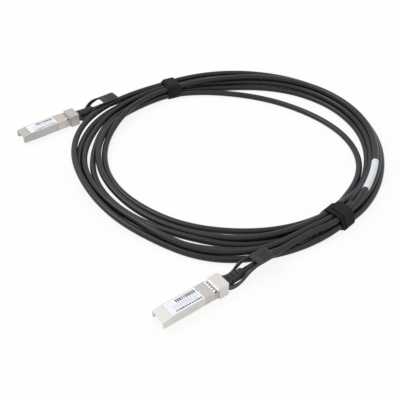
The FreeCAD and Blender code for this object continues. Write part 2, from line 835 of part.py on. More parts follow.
def build_collar(side):
    """Contact collar: a thin sheet saddle with bowed fingers towards the head."""
    label = side + "_spring_collar"
    body = new_body(label)
    half, top, sheet_thick = as_size("body_half_width"), as_size("body_height"), as_size("collar_sheet")
    low = as_size("collar_low")
    inner, roof = half - sheet_thick, top - sheet_thick
    saddle = [
        (-half, low), (-inner, low), (-inner, roof), (inner, roof),
        (inner, low), (half, low), (half, top), (-half, top),
    ]
    start = as_size("collar_start")
    extrude(body, label + "_saddle", "YZ", start, "collar_end", [saddle])
    tip = as_size("finger_tip")
    run = start - tip
    bow = sheet_thick * BOW_PER_SHEET

    def finger(outer):
        """Side view of one finger whose root has its outer face at a level."""
        under = outer - sheet_thick
        view = [(start - run * along, outer + bow * rise) for along, rise in FINGER_OUTER]
        view += [(tip, outer - sheet_thick), (tip, outer - bow)]
        return view + [(start - run * along, under + bow * rise) for along, rise in FINGER_INNER]

    count = int(number("finger_count"))
    half_width = as_size("finger_width") * 0.5
    for i in range(count):
        middle = as_size("finger_pitch") * (i - (count - 1) / 2)
        extrude(body, "%s_top_finger_%d" % (label, i + 1), "XZ", middle - half_width, middle + half_width,
                [finger(top)])
    for i in range(int(number("side_finger_count"))):
        middle = as_size("side_finger_first") + as_size("side_finger_pitch") * i
        mirrored = [(a, -as_size(b)) for a, b in finger(half)]
        extrude(body, "%s_side_fingers_%d" % (label, i + 1), "XY", middle - half_width, middle + half_width,
                [finger(half), mirrored])
    place(body, side)
    return body


def build_label(side):
    """Flat label stuck on the body's top."""
    label = side + "_label"
    half = as_size("label_half_width")
    top = as_size("body_height")
    face = block(label + "_sheet", "label_start", "label_end", -half, half, top, top + "label_thick")
    item = gather(label, [face])
    place(item, side)
    return item


def build_screws(side):
    """Two screws that hold the floor plate to the cover's posts."""
    label = side + "_shell_screws"
    sink = as_size("screw_sink_depth")
    screws = []
    for word, sign in (("left", 1), ("right", -1)):
        y = as_size("screw_offset") * sign
        head_low = sink - "screw_head_height"
        head = rod("%s_head_%s" % (label, word), "screw_place", y, head_low, sink, "screw_head_radius")
        shank = rod("%s_shank_%s" % (label, word), "screw_place", y, sink, "screw_end", "screw_radius")
        whole = doc.addObject("Part::MultiFuse", "%s_%s" % (label, word))
        whole.Shapes = [head, shank]
        screws.append(whole)
    doc.recompute()
    item = gather(label, screws)
    place(item, side)
    return item


def plug_point(side, x, z):
    """A point on the plug's centre plane in the part's frame."""
    turn = math.radians(-number(side + "_turn"))
    east = number(side + "_x") + x * math.cos(turn)
    north = number(side + "_y") + x * math.sin(turn)
    return FreeCAD.Vector(east, north, number("head_drop") + z)


def plug_turn(side):
    """The plug's rotation."""
    return FreeCAD.Rotation(FreeCAD.Vector(0, 0, -1), number(side + "_turn"))


def coil_point(turn, radius, z):
    """A point at an azimuth and radius about the coil's centre."""
    angle = math.radians(turn)
    return FreeCAD.Vector(
        number("coil_x") + radius * math.cos(angle), number("coil_y") + radius * math.sin(angle), z,
    )


def tie_placement(word):
    """Frame of a tie: X outward from the coil's centre, Y along the bundle."""
    turn = number(word + "_tie_turn")
    return FreeCAD.Placement(
        coil_point(turn, number(word + "_tie_radius"), 0), FreeCAD.Rotation(FreeCAD.Vector(0, 0, 1), turn),
    )


def build_coil():
    """The coiled middle of the cable as one solid of the bundle's outer shape."""
    step = 360.0 / len(COIL_OUTER)
    faces = []
    for radii in (COIL_OUTER, COIL_INNER):
        points = [coil_point(i * step, radius, 0) for i, radius in enumerate(radii)]
        curve = Part.BSplineCurve()
        curve.interpolate(Points=points, PeriodicFlag=True)
        faces.append(Part.Face(Part.Wire(curve.toShape())))
    height = number("coil_height")
    slab = faces[0].cut(faces[1]).extrude(FreeCAD.Vector(0, 0, height))
    rims = [edge for edge in slab.Edges if edge_at(edge, z=height)]
    slab = slab.makeChamfer(number("coil_rounding"), rims)
    half, low, high = number("tie_half_span"), number("tie_low"), number("tie_high")
    gap, width = number("tie_gap"), number("tie_width")
    reach, rise, margin = number("tie_cut_reach"), 2 * height, number("tie_cut_margin")
    for word in ("rear", "front"):
        outer = Part.makeBox(
            2 * reach, width + 2 * margin, 2 * rise, FreeCAD.Vector(-reach, -width / 2 - margin, -rise),
        )
        inner = Part.makeBox(
            2 * (half - gap), width + 4 * margin, high - low - 2 * gap,
            FreeCAD.Vector(-half + gap, -width / 2 - 2 * margin, low + gap),
        )
        ring = outer.cut(inner)
        ring.Placement = tie_placement(word)
        slab = slab.cut(ring)
    for side in ("near", "far"):
        gap = number("tab_slot_gap") * 2
        back = -number("tab_end") - number("tab_travel") - gap
        front = -number("tab_window_end") + number("tab_corner")
        low = number("tab_plate_low") - gap
        half = number("tab_outer") + gap
        room = Part.makeBox(front - back, 2 * half, height, FreeCAD.Vector(back, -half, low))
        spot = plug_point(side, 0, 0)
        room.Placement = FreeCAD.Placement(spot, plug_turn(side))
        slab = slab.cut(room)
    return free_shape("cable_coil", slab)


def build_tie(word):
    """Hook-and-loop strap round the bundle, with its loose end."""
    label = word + "_tie"
    body = new_body(label)
    sheet_thick = as_size("tie_sheet")
    half = as_size("tie_half_span")
    low, high = as_size("tie_low"), as_size("tie_high")
    half_width = as_size("tie_width") * 0.5
    outer = rect(-(half + sheet_thick), half + sheet_thick, low - sheet_thick, high + sheet_thick)
    band = extrude(body, label + "_band", "XZ", -half_width, half_width, [outer])
    corners = (half + sheet_thick).value
    levels = ((low - sheet_thick).value, (high + sheet_thick).value)

    def is_corner(edge):
        return any(edge_at(edge, x=sign * corners, z=level) for sign in (1, -1) for level in levels)

    break_edges(body, label + "_corners", band, is_corner, as_size("tie_rounding") * 0.5)
    inner = rect(-half, half, low, high)
    extrude(body, label + "_opening", "XZ", -half_width, half_width, [inner], cut=True)
    top = high + sheet_thick
    flap_half = half_width - "tie_flap_inset"
    start = as_size("tie_flap_start")
    plan = rect(-start, start, -flap_half, flap_half)
    extrude(body, label + "_flap", "XY", top, top + "tie_flap_thick", [plan])
    turn = as_size(word + "_tie_turn")
    spot = tie_placement(word)
    body.Placement = spot
    body.setExpression("Placement.Rotation.Angle", turn.text)
    radius = as_size(word + "_tie_radius")
    body.setExpression("Placement.Base.x", "Sizes.coil_x + %s * cos(%s * 1 deg)" % (radius.text, turn.text))
    body.setExpression("Placement.Base.y", "Sizes.coil_y + %s * sin(%s * 1 deg)" % (radius.text, turn.text))
    return body


def build_cable_label():
    """Curved wrap label on a top strand of the coil."""
    half = number("sleeve_half_width")
    level = number("coil_height")
    turns = (number("sleeve_start_turn"), number("sleeve_end_turn"))
    radii = (number("sleeve_start_radius"), number("sleeve_end_radius"))
    middle_turn = (turns[0] + turns[1]) / 2
    middle_radius = (radii[0] + radii[1]) / 2
    spine = [(turns[0], radii[0]), (middle_turn, middle_radius), (turns[1], radii[1])]
    outer = [coil_point(turn, radius + half, level) for turn, radius in spine]
    inner = [coil_point(turn, radius - half, level) for turn, radius in spine]
    wire = Part.Wire([
        Part.Arc(*outer).toShape(), Part.makeLine(outer[2], inner[2]),
        Part.Arc(*reversed(inner)).toShape(), Part.makeLine(inner[0], outer[0]),
    ])
    patch = Part.Face(wire).extrude(FreeCAD.Vector(0, 0, number("sleeve_thick")))
    return free_shape("cable_label", patch)


def build_tail(side, route):
    """Round cable from the boot to the coil along straight runs and tangent arcs."""
    label = side + "_cable_tail"
    start = plug_point(side, -number("boot_end") + number("boot_grip_length"), number("cable_axis"))
    points = [start] + [FreeCAD.Vector(*spot) for spot in route]
    radius = number("cable_diameter") / 2
    edges = []
    at = points[0]
    length = 0.0
    for i in range(1, len(points) - 1):
        back = points[i] - points[i - 1]
        ahead = points[i + 1] - points[i]
        half_turn = back.getAngle(ahead) / 2
        trim = ARC_SHARE * min(back.Length, ahead.Length)
        bend = trim / math.tan(half_turn)
        print("%s bend %d radius %.1f mm, turn %.1f degrees" % (label, i, bend, math.degrees(2 * half_turn)))
        back_unit = FreeCAD.Vector(back).normalize()
        ahead_unit = FreeCAD.Vector(ahead).normalize()
        enter = points[i] - back_unit * trim
        leave = points[i] + ahead_unit * trim
        inward = (ahead_unit - back_unit).normalize()
        middle = points[i] + inward * (bend / math.cos(half_turn) - bend)
        edges.append(Part.LineSegment(at, enter).toShape())
        arc = Part.Arc(enter, middle, leave).toShape()
        edges.append(arc)
        length += (enter - at).Length + arc.Length
        at = leave
    edges.append(Part.LineSegment(at, points[-1]).toShape())
    length += (points[-1] - at).Length
    path = Part.Wire(edges)
    circle = Part.makeCircle(radius, points[0], points[1] - points[0])
    tube = path.makePipeShell([Part.Wire(circle)], True, False)
    expected = math.pi * radius * radius * length
    print("%s length %.1f mm, volume ratio %.4f" % (label, length, tube.Volume / expected))
    if abs(tube.Volume / expected - 1) > VOLUME_TOLERANCE:
        raise ValueError("tube does not follow its route: " + label)
    return free_shape(label, tube)


def main():
    """Build every piece and write one STEP file for each."""
    pieces = []
    for side in ("near", "far"):
        for builder in (
            build_upper_shell, build_lower_shell, build_slider, build_pull_tab, build_springs, build_boot,
            build_ferrule, build_card, build_contacts, build_card_parts, build_wires, build_collar,
            build_label, build_screws,
        ):
            pieces.append(builder(side))
    pieces.append(build_coil())
    pieces.append(build_tail("near", NEAR_ROUTE))
    pieces.append(build_tail("far", FAR_ROUTE))
    pieces.append(build_tie("rear"))
    pieces.append(build_tie("front"))
    pieces.append(build_cable_label())
    doc.recompute()
    for item in doc.Objects:
        if "Invalid" in item.State or "Error" in item.State:
            raise ValueError("%s did not compute: %s" % (item.Label, item.State))
    os.makedirs(STEP_FOLDER, exist_ok=True)
    for piece in pieces:
        shape = piece.Shape
        if shape.isNull() or not shape.isValid():
            raise ValueError("bad shape: " + piece.Label)
        shape.exportStep("%s/%s.step" % (STEP_FOLDER, piece.Label))
        print("%s solids %d volume %.2f faces %d" % (
            piece.Label, len(shape.Solids), shape.Volume, len(shape.Faces)))


main()
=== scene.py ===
"""Direct attach copper cable: the wound cord, its ties, the finishes and a small studio.

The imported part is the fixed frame. Sizes are millimetres, and become metres where a mesh is made.
Angles are degrees, and azimuths run anticlockwise from the photograph's right.
"""

import json
import logging
import math
from dataclasses import dataclass, field
from enum import Enum

import bmesh
import bpy
import numpy as np
from mathutils import Matrix, Vector


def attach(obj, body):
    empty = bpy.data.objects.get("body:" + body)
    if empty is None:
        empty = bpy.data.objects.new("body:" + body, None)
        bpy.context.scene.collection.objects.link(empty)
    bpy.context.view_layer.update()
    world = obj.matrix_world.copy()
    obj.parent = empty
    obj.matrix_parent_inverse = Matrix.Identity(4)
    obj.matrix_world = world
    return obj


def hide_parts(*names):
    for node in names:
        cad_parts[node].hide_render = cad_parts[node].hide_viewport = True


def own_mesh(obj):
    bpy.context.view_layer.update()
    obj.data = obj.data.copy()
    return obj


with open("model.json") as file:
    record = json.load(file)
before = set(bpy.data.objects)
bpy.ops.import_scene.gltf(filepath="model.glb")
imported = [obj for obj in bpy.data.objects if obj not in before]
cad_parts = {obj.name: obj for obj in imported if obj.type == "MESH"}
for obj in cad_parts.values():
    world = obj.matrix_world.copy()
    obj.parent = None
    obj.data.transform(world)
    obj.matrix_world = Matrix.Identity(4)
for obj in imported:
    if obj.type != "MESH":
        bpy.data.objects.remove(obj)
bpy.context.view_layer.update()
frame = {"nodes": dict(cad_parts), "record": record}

MM = 0.001
CABLE_DIAMETER = 5.3
COIL_CENTRE = (76.7, 52.36)
PLUG_TURN = 143.0
DOUBLES_WITHIN = 1e-7
NODE_COLUMN = 180
STRAP_MAP = "Strap"
STREAK_STRETCH = 0.06
UP = Vector((0.0, 0.0, 1.0))
# Socket numbers where one node has a name several times: mixed colours, and random decimals.
MIX_FIRST, MIX_SECOND, MIX_RESULT = 6, 7, 2
RANDOM_LOW, RANDOM_HIGH, RANDOM_RESULT = 2, 3, 1
Colour = tuple[float, float, float]
Point = tuple[float, float, float]
OutlinePoint = tuple[float, float, float, float]

log = logging.getLogger("scene")


class Side(Enum):
    """The two plugs, by their distance from the photograph's camera."""

    NEAR = "near"
    FAR = "far"


class Texture(Enum):
    """Which shared pattern a finish reads."""

    GRAIN = "grain"
    BRUSHED = "brushed"
    WEAVE = "weave"


def scaled(point: Point) -> Vector:
    """Millimetres to a vector in metres."""
    return Vector(point) * MM


def recalculate(mesh: bpy.types.Mesh, merge: bool = False) -> None:
    """Turn every face of a closed mesh outwards.

    Args:
        mesh: The mesh, changed in place.
        merge: Whether its doubles are merged first.
    """
    work = bmesh.new()
    work.from_mesh(mesh)
    if merge:
        bmesh.ops.remove_doubles(work, verts=work.verts, dist=DOUBLES_WITHIN)
    bmesh.ops.recalc_face_normals(work, faces=work.faces)
    work.to_mesh(mesh)
    work.free()


def add_object(name: str, data: bpy.types.ID) -> bpy.types.Object:
    """Link new data to the scene as an object at the origin.

    Args:
        name: The object's name.
        data: Its mesh, curve, lamp or camera.

    Returns:
        The new object.
    """
    item = bpy.data.objects.new(name, data)
    bpy.context.scene.collection.objects.link(item)
    return item


class Graph:
    """A node tree with short calls to add and join nodes."""

    def __init__(self, tree: bpy.types.NodeTree) -> None:
        """Keep the tree and start its column count.

        Args:
            tree: The node tree to fill.
        """
        self.tree = tree
        self.count = 0

    def add(self, kind: str, settings: dict | None = None, **inputs: object) -> bpy.types.Node:
        """Add a node.

        Args:
            kind: The node's type name.
            settings: Properties of the node itself.
            inputs: Constant values by input name, with _ for each space.

        Returns:
            The new node.
        """
        node = self.tree.nodes.new(kind)
        node.location = (self.count * NODE_COLUMN, 0)
        self.count += 1
        for key, value in (settings or {}).items():
            setattr(node, key, value)
        for key, value in inputs.items():
            node.inputs[key.replace("_", " ")].default_value = value
        return node

    def join(self, source: bpy.types.NodeSocket, target: bpy.types.NodeSocket) -> None:
        """Link an output to an input."""
        self.tree.links.new(source, target)

    def maths(self, operation: str, first: object, second: object = None) -> bpy.types.NodeSocket:
        """Add a math node fed by sockets or numbers.

        Args:
            operation: The math node's operation.
            first: A socket or a number.
            second: A socket or a number, if the operation has two.

        Returns:
            The node's output.
        """
        node = self.add("ShaderNodeMath", {"operation": operation})
        for index, item in enumerate((first, second)):
            if item is None:
                continue
            if isinstance(item, bpy.types.NodeSocket):
                self.join(item, node.inputs[index])
            else:
                node.inputs[index].default_value = item
        return node.outputs[0]


def fresh_graph(owner: bpy.types.ID) -> Graph:
    """Start the nodes of a material or world again from none.

    Args:
        owner: The material or world.

    Returns:
        Its empty graph.
    """
    owner.use_nodes = True
    owner.node_tree.nodes.clear()
    return Graph(owner.node_tree)


class EffectLibrary:
    """Shader node groups that several finishes share, each built once."""

    def __init__(self) -> None:
        """Build the three shared effects."""
        self.groups = {
            Texture.GRAIN: self._grain(),
            Texture.BRUSHED: self._brushed(),
            Texture.WEAVE: self._weave(),
        }

    @staticmethod
    def _group(name: str, inputs: dict[str, float]) -> tuple[Graph, bpy.types.Node, bpy.types.Node]:
        """Start a group with number inputs and the outputs Mask and Height.

        Args:
            name: The group's name.
            inputs: Default value of each number input.

        Returns:
            The graph, its input node and its output node.
        """
        tree = bpy.data.node_groups.new(name, "ShaderNodeTree")
        for word, default in inputs.items():
            socket = tree.interface.new_socket(word, in_out="INPUT", socket_type="NodeSocketFloat")
            socket.default_value = default
        for word in ("Mask", "Height"):
            tree.interface.new_socket(word, in_out="OUTPUT", socket_type="NodeSocketFloat")
        graph = Graph(tree)
        return graph, graph.add("NodeGroupInput"), graph.add("NodeGroupOutput")

    @staticmethod
    def _noise(graph: Graph, place: bpy.types.NodeSocket, scale: bpy.types.NodeSocket, detail: float,
               roughness: float) -> bpy.types.NodeSocket:
        """Add a noise texture.

        Args:
            graph: The graph to add it to.
            place: Where the pattern is read.
            scale: Repeats in a metre.
            detail: Levels of finer noise.
            roughness: Strength of the finer levels.

        Returns:
            The noise, about 0 to 1.
        """
        node = graph.add("ShaderNodeTexNoise", Detail=detail, Roughness=roughness)
        graph.join(place, node.inputs["Vector"])
        graph.join(scale, node.inputs["Scale"])
        return node.outputs["Fac"]

    def _grain(self) -> bpy.types.NodeTree:
        """Make fine grain for height, and broad smudges for the mask.

        Returns:
            The group's tree.
        """
        graph, source, result = self._group("Grain and smudges", {"Scale": 4000.0, "Smudge": 60.0})
        place = graph.add("ShaderNodeTexCoord").outputs["Object"]
        fine = self._noise(graph, place, source.outputs["Scale"], detail=4.0, roughness=0.6)
        broad = self._noise(graph, place, source.outputs["Smudge"], detail=3.0, roughness=0.55)
        graph.join(broad, result.inputs["Mask"])
        graph.join(fine, result.inputs["Height"])
        return graph.tree

    def _brushed(self) -> bpy.types.NodeTree:
        """Make streaks drawn out along the plugs' length, with broad smudges as the mask.

        Returns:
            The group's tree.
        """
        graph, source, result = self._group("Brushed streaks", {"Scale": 5000.0, "Smudge": 90.0})
        place = graph.add("ShaderNodeTexCoord").outputs["Object"]
        turn = graph.add("ShaderNodeMapping")
        turn.inputs["Rotation"].default_value = (0.0, 0.0, math.radians(PLUG_TURN))
        turn.inputs["Scale"].default_value = (STREAK_STRETCH, 1.0, 1.0)
        graph.join(place, turn.inputs["Vector"])
        streaks = turn.outputs["Vector"]
        fine = self._noise(graph, streaks, source.outputs["Scale"], detail=3.0, roughness=0.5)
        broad = self._noise(graph, place, source.outputs["Smudge"], detail=2.0, roughness=0.5)
        graph.join(broad, result.inputs["Mask"])
        graph.join(fine, result.inputs["Height"])
        return graph.tree

    def _weave(self) -> bpy.types.NodeTree:
        """Make plain weave over the piece's own map, whose unit is a metre of strap.

        Returns:
            The group's tree.
        """
        graph, source, result = self._group("Weave", {"Scale": 1400.0, "Smudge": 120.0})
        place = graph.add("ShaderNodeUVMap", {"uv_map": STRAP_MAP}).outputs["UV"]
        split = graph.add("ShaderNodeSeparateXYZ")
        graph.join(place, split.inputs[0])
        waves = []
        for axis in ("X", "Y"):
            turns = graph.maths("MULTIPLY", split.outputs[axis], source.outputs["Scale"])
            angle = graph.maths("MULTIPLY", turns, math.pi)
            waves.append(graph.maths("SINE", angle))
        crossing = graph.maths("MULTIPLY", waves[0], waves[1])
        fuzz = self._noise(graph, place, source.outputs["Smudge"], detail=4.0, roughness=0.7)
        graph.join(fuzz, result.inputs["Mask"])
        graph.join(graph.maths("ABSOLUTE", crossing), result.inputs["Height"])
        return graph.tree


@dataclass(frozen=True)
class Finish:
    """One finish: two close colours, gloss and relief.

    Scales are repeats in a metre, and relief is in millimetres.
    """

    name: str
    slot: str
    colour: Colour
    second: Colour
    gloss: tuple[float, float]
    metallic: float = 0.0
    specular: float = 0.5
    sheen: float = 0.0
    texture: Texture = Texture.GRAIN
    scale: float = 4000.0
    smudge: float = 60.0
    relief: float = 0.01
    band: tuple[float, float] = (0.35, 0.65)

    def material(self, effects: EffectLibrary) -> bpy.types.Material:
        """Make the material.

        Args:
            effects: The shared node groups.

        Returns:
            A node-based material.
        """
        made = bpy.data.materials.new(self.name)
        graph = fresh_graph(made)
        effect = graph.add("ShaderNodeGroup", {"node_tree": effects.groups[self.texture]})
        effect.inputs["Scale"].default_value = self.scale
        effect.inputs["Smudge"].default_value = self.smudge
        spread = graph.add("ShaderNodeMapRange", From_Min=self.band[0], From_Max=self.band[1])
        graph.join(effect.outputs["Mask"], spread.inputs["Value"])
        mix = graph.add("ShaderNodeMix", {"data_type": "RGBA"})
        mix.inputs[MIX_FIRST].default_value = (*self.colour, 1.0)
        mix.inputs[MIX_SECOND].default_value = (*self.second, 1.0)
        graph.join(spread.outputs["Result"], mix.inputs["Factor"])
        rough = graph.add("ShaderNodeMapRange", From_Min=self.band[0], From_Max=self.band[1],
                          To_Min=self.gloss[0], To_Max=self.gloss[1])
        graph.join(effect.outputs["Mask"], rough.inputs["Value"])
        bump = graph.add("ShaderNodeBump", Strength=1.0, Distance=self.relief * MM)
        graph.join(effect.outputs["Height"], bump.inputs["Height"])
        shader = graph.add("ShaderNodeBsdfPrincipled", Metallic=self.metallic)
        shader.inputs["Specular IOR Level"].default_value = self.specular
        shader.inputs["Sheen Weight"].default_value = self.sheen
        graph.join(mix.outputs[MIX_RESULT], shader.inputs["Base Color"])
        graph.join(rough.outputs["Result"], shader.inputs["Roughness"])
        graph.join(bump.outputs["Normal"], shader.inputs["Normal"])
        output = graph.add("ShaderNodeOutputMaterial")
        graph.join(shader.outputs["BSDF"], output.inputs["Surface"])
        return made


CAST_NICKEL = Finish(
    "Satin nickel casting", "cast_shell", (0.73, 0.705, 0.675), (0.68, 0.655, 0.625), (0.34, 0.44),
    metallic=0.85, scale=2600.0, smudge=45.0, relief=0.012,
)
# The far plug's shell is the same casting as the near one, with painted shade: its colours are set darker and
# greyer, and its gloss duller, to stand in for the light that reaches it less.
CAST_NICKEL_PAINTED_SHADE = Finish(
    "Satin nickel casting, painted shade", "cast_shell", (0.53, 0.515, 0.49), (0.49, 0.475, 0.455), (0.36, 0.46),
    metallic=0.75, scale=2600.0, smudge=45.0, relief=0.012,
)
STAMPED_STEEL = Finish(
    "Stamped stainless", "stamped_steel", (0.62, 0.62, 0.62), (0.55, 0.55, 0.55), (0.28, 0.38),
    metallic=1.0, texture=Texture.BRUSHED, relief=0.006,
)
COLLAR_BRONZE = Finish(
    "Pale plated bronze", "collar_bronze", (0.61, 0.57, 0.535), (0.56, 0.52, 0.49), (0.30, 0.40),
    metallic=0.9, texture=Texture.BRUSHED, relief=0.004,
)
TAB_PLASTIC = Finish(
    "Moulded tab", "tab_plastic", (0.012, 0.0105, 0.014), (0.018, 0.016, 0.020), (0.40, 0.52),
    scale=5200.0, smudge=80.0, relief=0.03,
)
BOOT_RUBBER = Finish(
    "Matte boot", "boot_rubber", (0.010, 0.010, 0.012), (0.016, 0.016, 0.018), (0.45, 0.58),
    scale=5200.0, smudge=110.0, relief=0.03,
)
SPRING_WIRE = Finish(
    "Drawn spring wire", "spring_wire", (0.56, 0.56, 0.57), (0.48, 0.48, 0.49), (0.25, 0.35),
    metallic=1.0, texture=Texture.BRUSHED, scale=9000.0, relief=0.003,
)
FERRULE_BRASS = Finish(
    "Crimped brass", "ferrule_brass", (0.72, 0.57, 0.30), (0.62, 0.47, 0.24), (0.28, 0.42),
    metallic=1.0, relief=0.01,
)
CARD_BOARD = Finish(
    "Green solder mask", "card_board", (0.018, 0.12, 0.05), (0.024, 0.16, 0.07), (0.32, 0.42),
    scale=3000.0, smudge=300.0, relief=0.006,
)
GOLD_CONTACT = Finish(
    "Gold plating", "gold_contact", (0.83, 0.64, 0.26), (0.76, 0.57, 0.22), (0.18, 0.28),
    metallic=1.0, scale=7000.0, smudge=400.0, relief=0.003,
)
CHIP_PLASTIC = Finish(
    "Moulded epoxy", "chip_plastic", (0.03, 0.03, 0.03), (0.05, 0.05, 0.05), (0.5, 0.62),
    scale=9000.0, smudge=500.0, relief=0.01,
)
WIRE_INSULATION = Finish(
    "Extruded insulation", "wire_insulation", (0.66, 0.72, 0.78), (0.58, 0.65, 0.72), (0.28, 0.38),
    scale=3000.0, smudge=200.0, relief=0.006,
)
SCREW_STEEL = Finish(
    "Zinc plated screw", "screw_steel", (0.52, 0.52, 0.52), (0.42, 0.42, 0.42), (0.3, 0.42),
    metallic=1.0, scale=6000.0, smudge=600.0, relief=0.006,
)
LABEL_PAPER = Finish(
    "Label film", "label_paper", (0.90, 0.905, 0.935), (0.87, 0.875, 0.91), (0.34, 0.44),
    scale=1800.0, smudge=70.0, relief=0.008,
)
SLEEVE_PAPER = Finish(
    "Cable label film", "label_paper", (0.76, 0.79, 0.82), (0.70, 0.735, 0.77), (0.38, 0.5),
    scale=1500.0, smudge=120.0, relief=0.03,
)
LABEL_INK = Finish(
    "Printed ink", "label_paper", (0.045, 0.045, 0.06), (0.09, 0.09, 0.11), (0.38, 0.5),
    scale=6000.0, smudge=500.0, relief=0.004,
)
FAINT_INK = Finish(
    "Faint printed ink", "label_paper", (0.42, 0.48, 0.66), (0.56, 0.61, 0.75), (0.38, 0.5),
    scale=6000.0, smudge=500.0, relief=0.004,
)
CABLE_JACKET = Finish(
    "Extruded jacket", "cable_jacket", (0.0085, 0.0098, 0.0120), (0.0130, 0.0148, 0.0175), (0.30, 0.40),
    specular=0.38, scale=2200.0, smudge=28.0, relief=0.018,
)
TIE_FABRIC = Finish(
    "Woven hook and loop", "tie_fabric", (0.006, 0.006, 0.007), (0.013, 0.013, 0.015), (0.75, 0.9),
    specular=0.25, sheen=0.03, texture=Texture.WEAVE, scale=1500.0, smudge=500.0, relief=0.16,
)


class Wardrobe:
    """Gives each finish's material, made once."""

    def __init__(self) -> None:
        """Build the shared effects."""
        self.effects = EffectLibrary()
        self.made: dict[str, bpy.types.Material] = {}

    def material(self, finish: Finish) -> bpy.types.Material:
        """Give the material of a finish, built on first use.

        Args:
            finish: The finish.

        Returns:
            Its one material.
        """
        if finish.name not in self.made:
            self.made[finish.name] = finish.material(self.effects)
        return self.made[finish.name]

    def dress(self, item: bpy.types.Object, finish: Finish) -> None:
        """Give a piece one finish, in place of any it has.

        Args:
            item: The object to dress.
            finish: Its finish.
        """
        item.data.materials.clear()
        item.data.materials.append(self.material(finish))

    def hand_over(self, item: bpy.types.Object, finish: Finish, body: str, *nodes: str) -> None:
        """Dress a new piece, put it on a body and let it stand for nodes.

        Args:
            item: The new piece.
            finish: Its finish.
            body: The body that it rides on.
            nodes: The nodes that it replaces, if any.
        """
        self.dress(item, finish)
        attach(item, body)
        if nodes:
            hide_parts(*nodes)
        log.info("%s rides on %s with %s", item.name, body, finish.name)


@dataclass
class Studio:
    """Camera, lamps, world and floor."""

    target: Point = (55.7, -3.64, 0.0)
    camera_place: Point = (55.7, -461.99, 387.03)
    lens: float = 66.33
    sensor_width: float = 36.0
    nearest_seen: float = 10.0
    key_place: Point = (-1500.0, 500.0, 2200.0)
    key_power: float = 26.0
    key_size: float = 1300.0
    world_level: float = 0.76
    floor_half: float = 4000.0
    floor_whiteness: float = 0.87
    floor_shade: float = 0.93

    def _aim(self, item: bpy.types.Object, spot: Point) -> None:
        """Put a camera or lamp at a spot and turn it to the target.

        Args:
            item: The camera or lamp.
            spot: Its place.
        """
        place = scaled(spot)
        item.location = place
        item.rotation_euler = (scaled(self.target) - place).to_track_quat("-Z", "Y").to_euler()

    def build_camera(self) -> None:
        """Point a camera at the coil from the photograph's side."""
        data = bpy.data.cameras.new("Camera")
        data.lens = self.lens
        data.sensor_width = self.sensor_width
        data.clip_start = self.nearest_seen * MM
        camera = add_object("Camera", data)
        self._aim(camera, self.camera_place)
        bpy.context.scene.camera = camera

    def build_lights(self) -> None:
        """One broad lamp, over the coil's far left."""
        data = bpy.data.lights.new("Key", "AREA")
        data.size = self.key_size * MM
        data.energy = self.key_power
        self._aim(add_object("Key", data), self.key_place)

    def build_world(self) -> None:
        """White to the camera and in reflections, softer as light."""
        world = bpy.data.worlds.new("Studio")
        bpy.context.scene.world = world
        graph = fresh_graph(world)
        seen = self._seen(graph)
        level = graph.add("ShaderNodeMapRange", To_Min=self.world_level, To_Max=1.0)
        graph.join(seen, level.inputs["Value"])
        shade = graph.add("ShaderNodeBackground", Color=(1.0, 1.0, 1.0, 1.0))
        graph.join(level.outputs["Result"], shade.inputs["Strength"])
        output = graph.add("ShaderNodeOutputWorld")
        graph.join(shade.outputs[0], output.inputs["Surface"])

    @staticmethod
    def _seen(graph: Graph) -> bpy.types.NodeSocket:
        """Tell the rays that show the studio from those that light the object.

        Args:
            graph: The graph to add the nodes to.

        Returns:
            One where a ray comes from the camera, a reflection or glass.
        """
        path = graph.add("ShaderNodeLightPath")
        total = graph.maths("ADD", path.outputs["Is Camera Ray"], path.outputs["Is Glossy Ray"])
        total = graph.maths("ADD", total, path.outputs["Is Transmission Ray"])
        return graph.maths("MINIMUM", total, 1.0)

    def build_floor(self) -> None:
        """A pale floor that keeps a soft share of the object's shadow."""
        half = self.floor_half * MM
        mesh = bpy.data.meshes.new("Floor")
        corners = [(-half, -half, 0.0), (half, -half, 0.0), (half, half, 0.0), (-half, half, 0.0)]
        mesh.from_pydata(corners, [], [(0, 1, 2, 3)])
        floor = add_object("Floor", mesh)
        material = bpy.data.materials.new("Pale floor")
        graph = fresh_graph(material)
        share = graph.maths("MULTIPLY", self._seen(graph), self.floor_whiteness)
        matt = graph.add("ShaderNodeBsdfDiffuse", Color=(*(self.floor_shade,) * 3, 1.0))
        glow = graph.add("ShaderNodeEmission", Color=(1.0, 1.0, 1.0, 1.0), Strength=1.0)
        mix = graph.add("ShaderNodeMixShader")
        graph.join(share, mix.inputs[0])
        graph.join(matt.outputs[0], mix.inputs[1])
        graph.join(glow.outputs[0], mix.inputs[2])
        output = graph.add("ShaderNodeOutputMaterial")
        graph.join(mix.outputs[0], output.inputs["Surface"])
        mesh.materials.append(material)

    def build(self) -> None:
        """Build the whole studio."""
        self.build_camera()
        self.build_lights()
        self.build_world()
        self.build_floor()
        bpy.context.scene.view_settings.view_transform = "Standard"


@dataclass
class Bundle:
    """Slots of the seven strands where a tie holds them: offset outward and height."""

    low: float = 4.05
    high: float = 8.64
    pitch: float = CABLE_DIAMETER

    def slot(self, step: float, raised: bool) -> tuple[float, float]:
        """Offset and height of one slot.

        Args:
            step: Offset from the middle in strand pitches.
            raised: Whether it is in the upper row.

        Returns:
            Offset outward and height.
        """
        return (step * self.pitch, self.high if raised else self.low)


@dataclass(frozen=True)
class Settling:
    """How the strands settle.

    A pull or a smoothing is the share of its way that a strand goes in one round.
    """

    rounds: int = 700
    loose_rounds: int = 60
    radius_pull: float = 0.16
    height_pull: float = 0.10
    radius_smoothing: float = 0.06
    height_smoothing: float = 0.14
    loose_smoothing: float = 0.3
    passes: int = 3
    spacing: float = 5.22
    least_gap: float = 0.01
    lowest: float = 2.7
    highest: float = 11.1


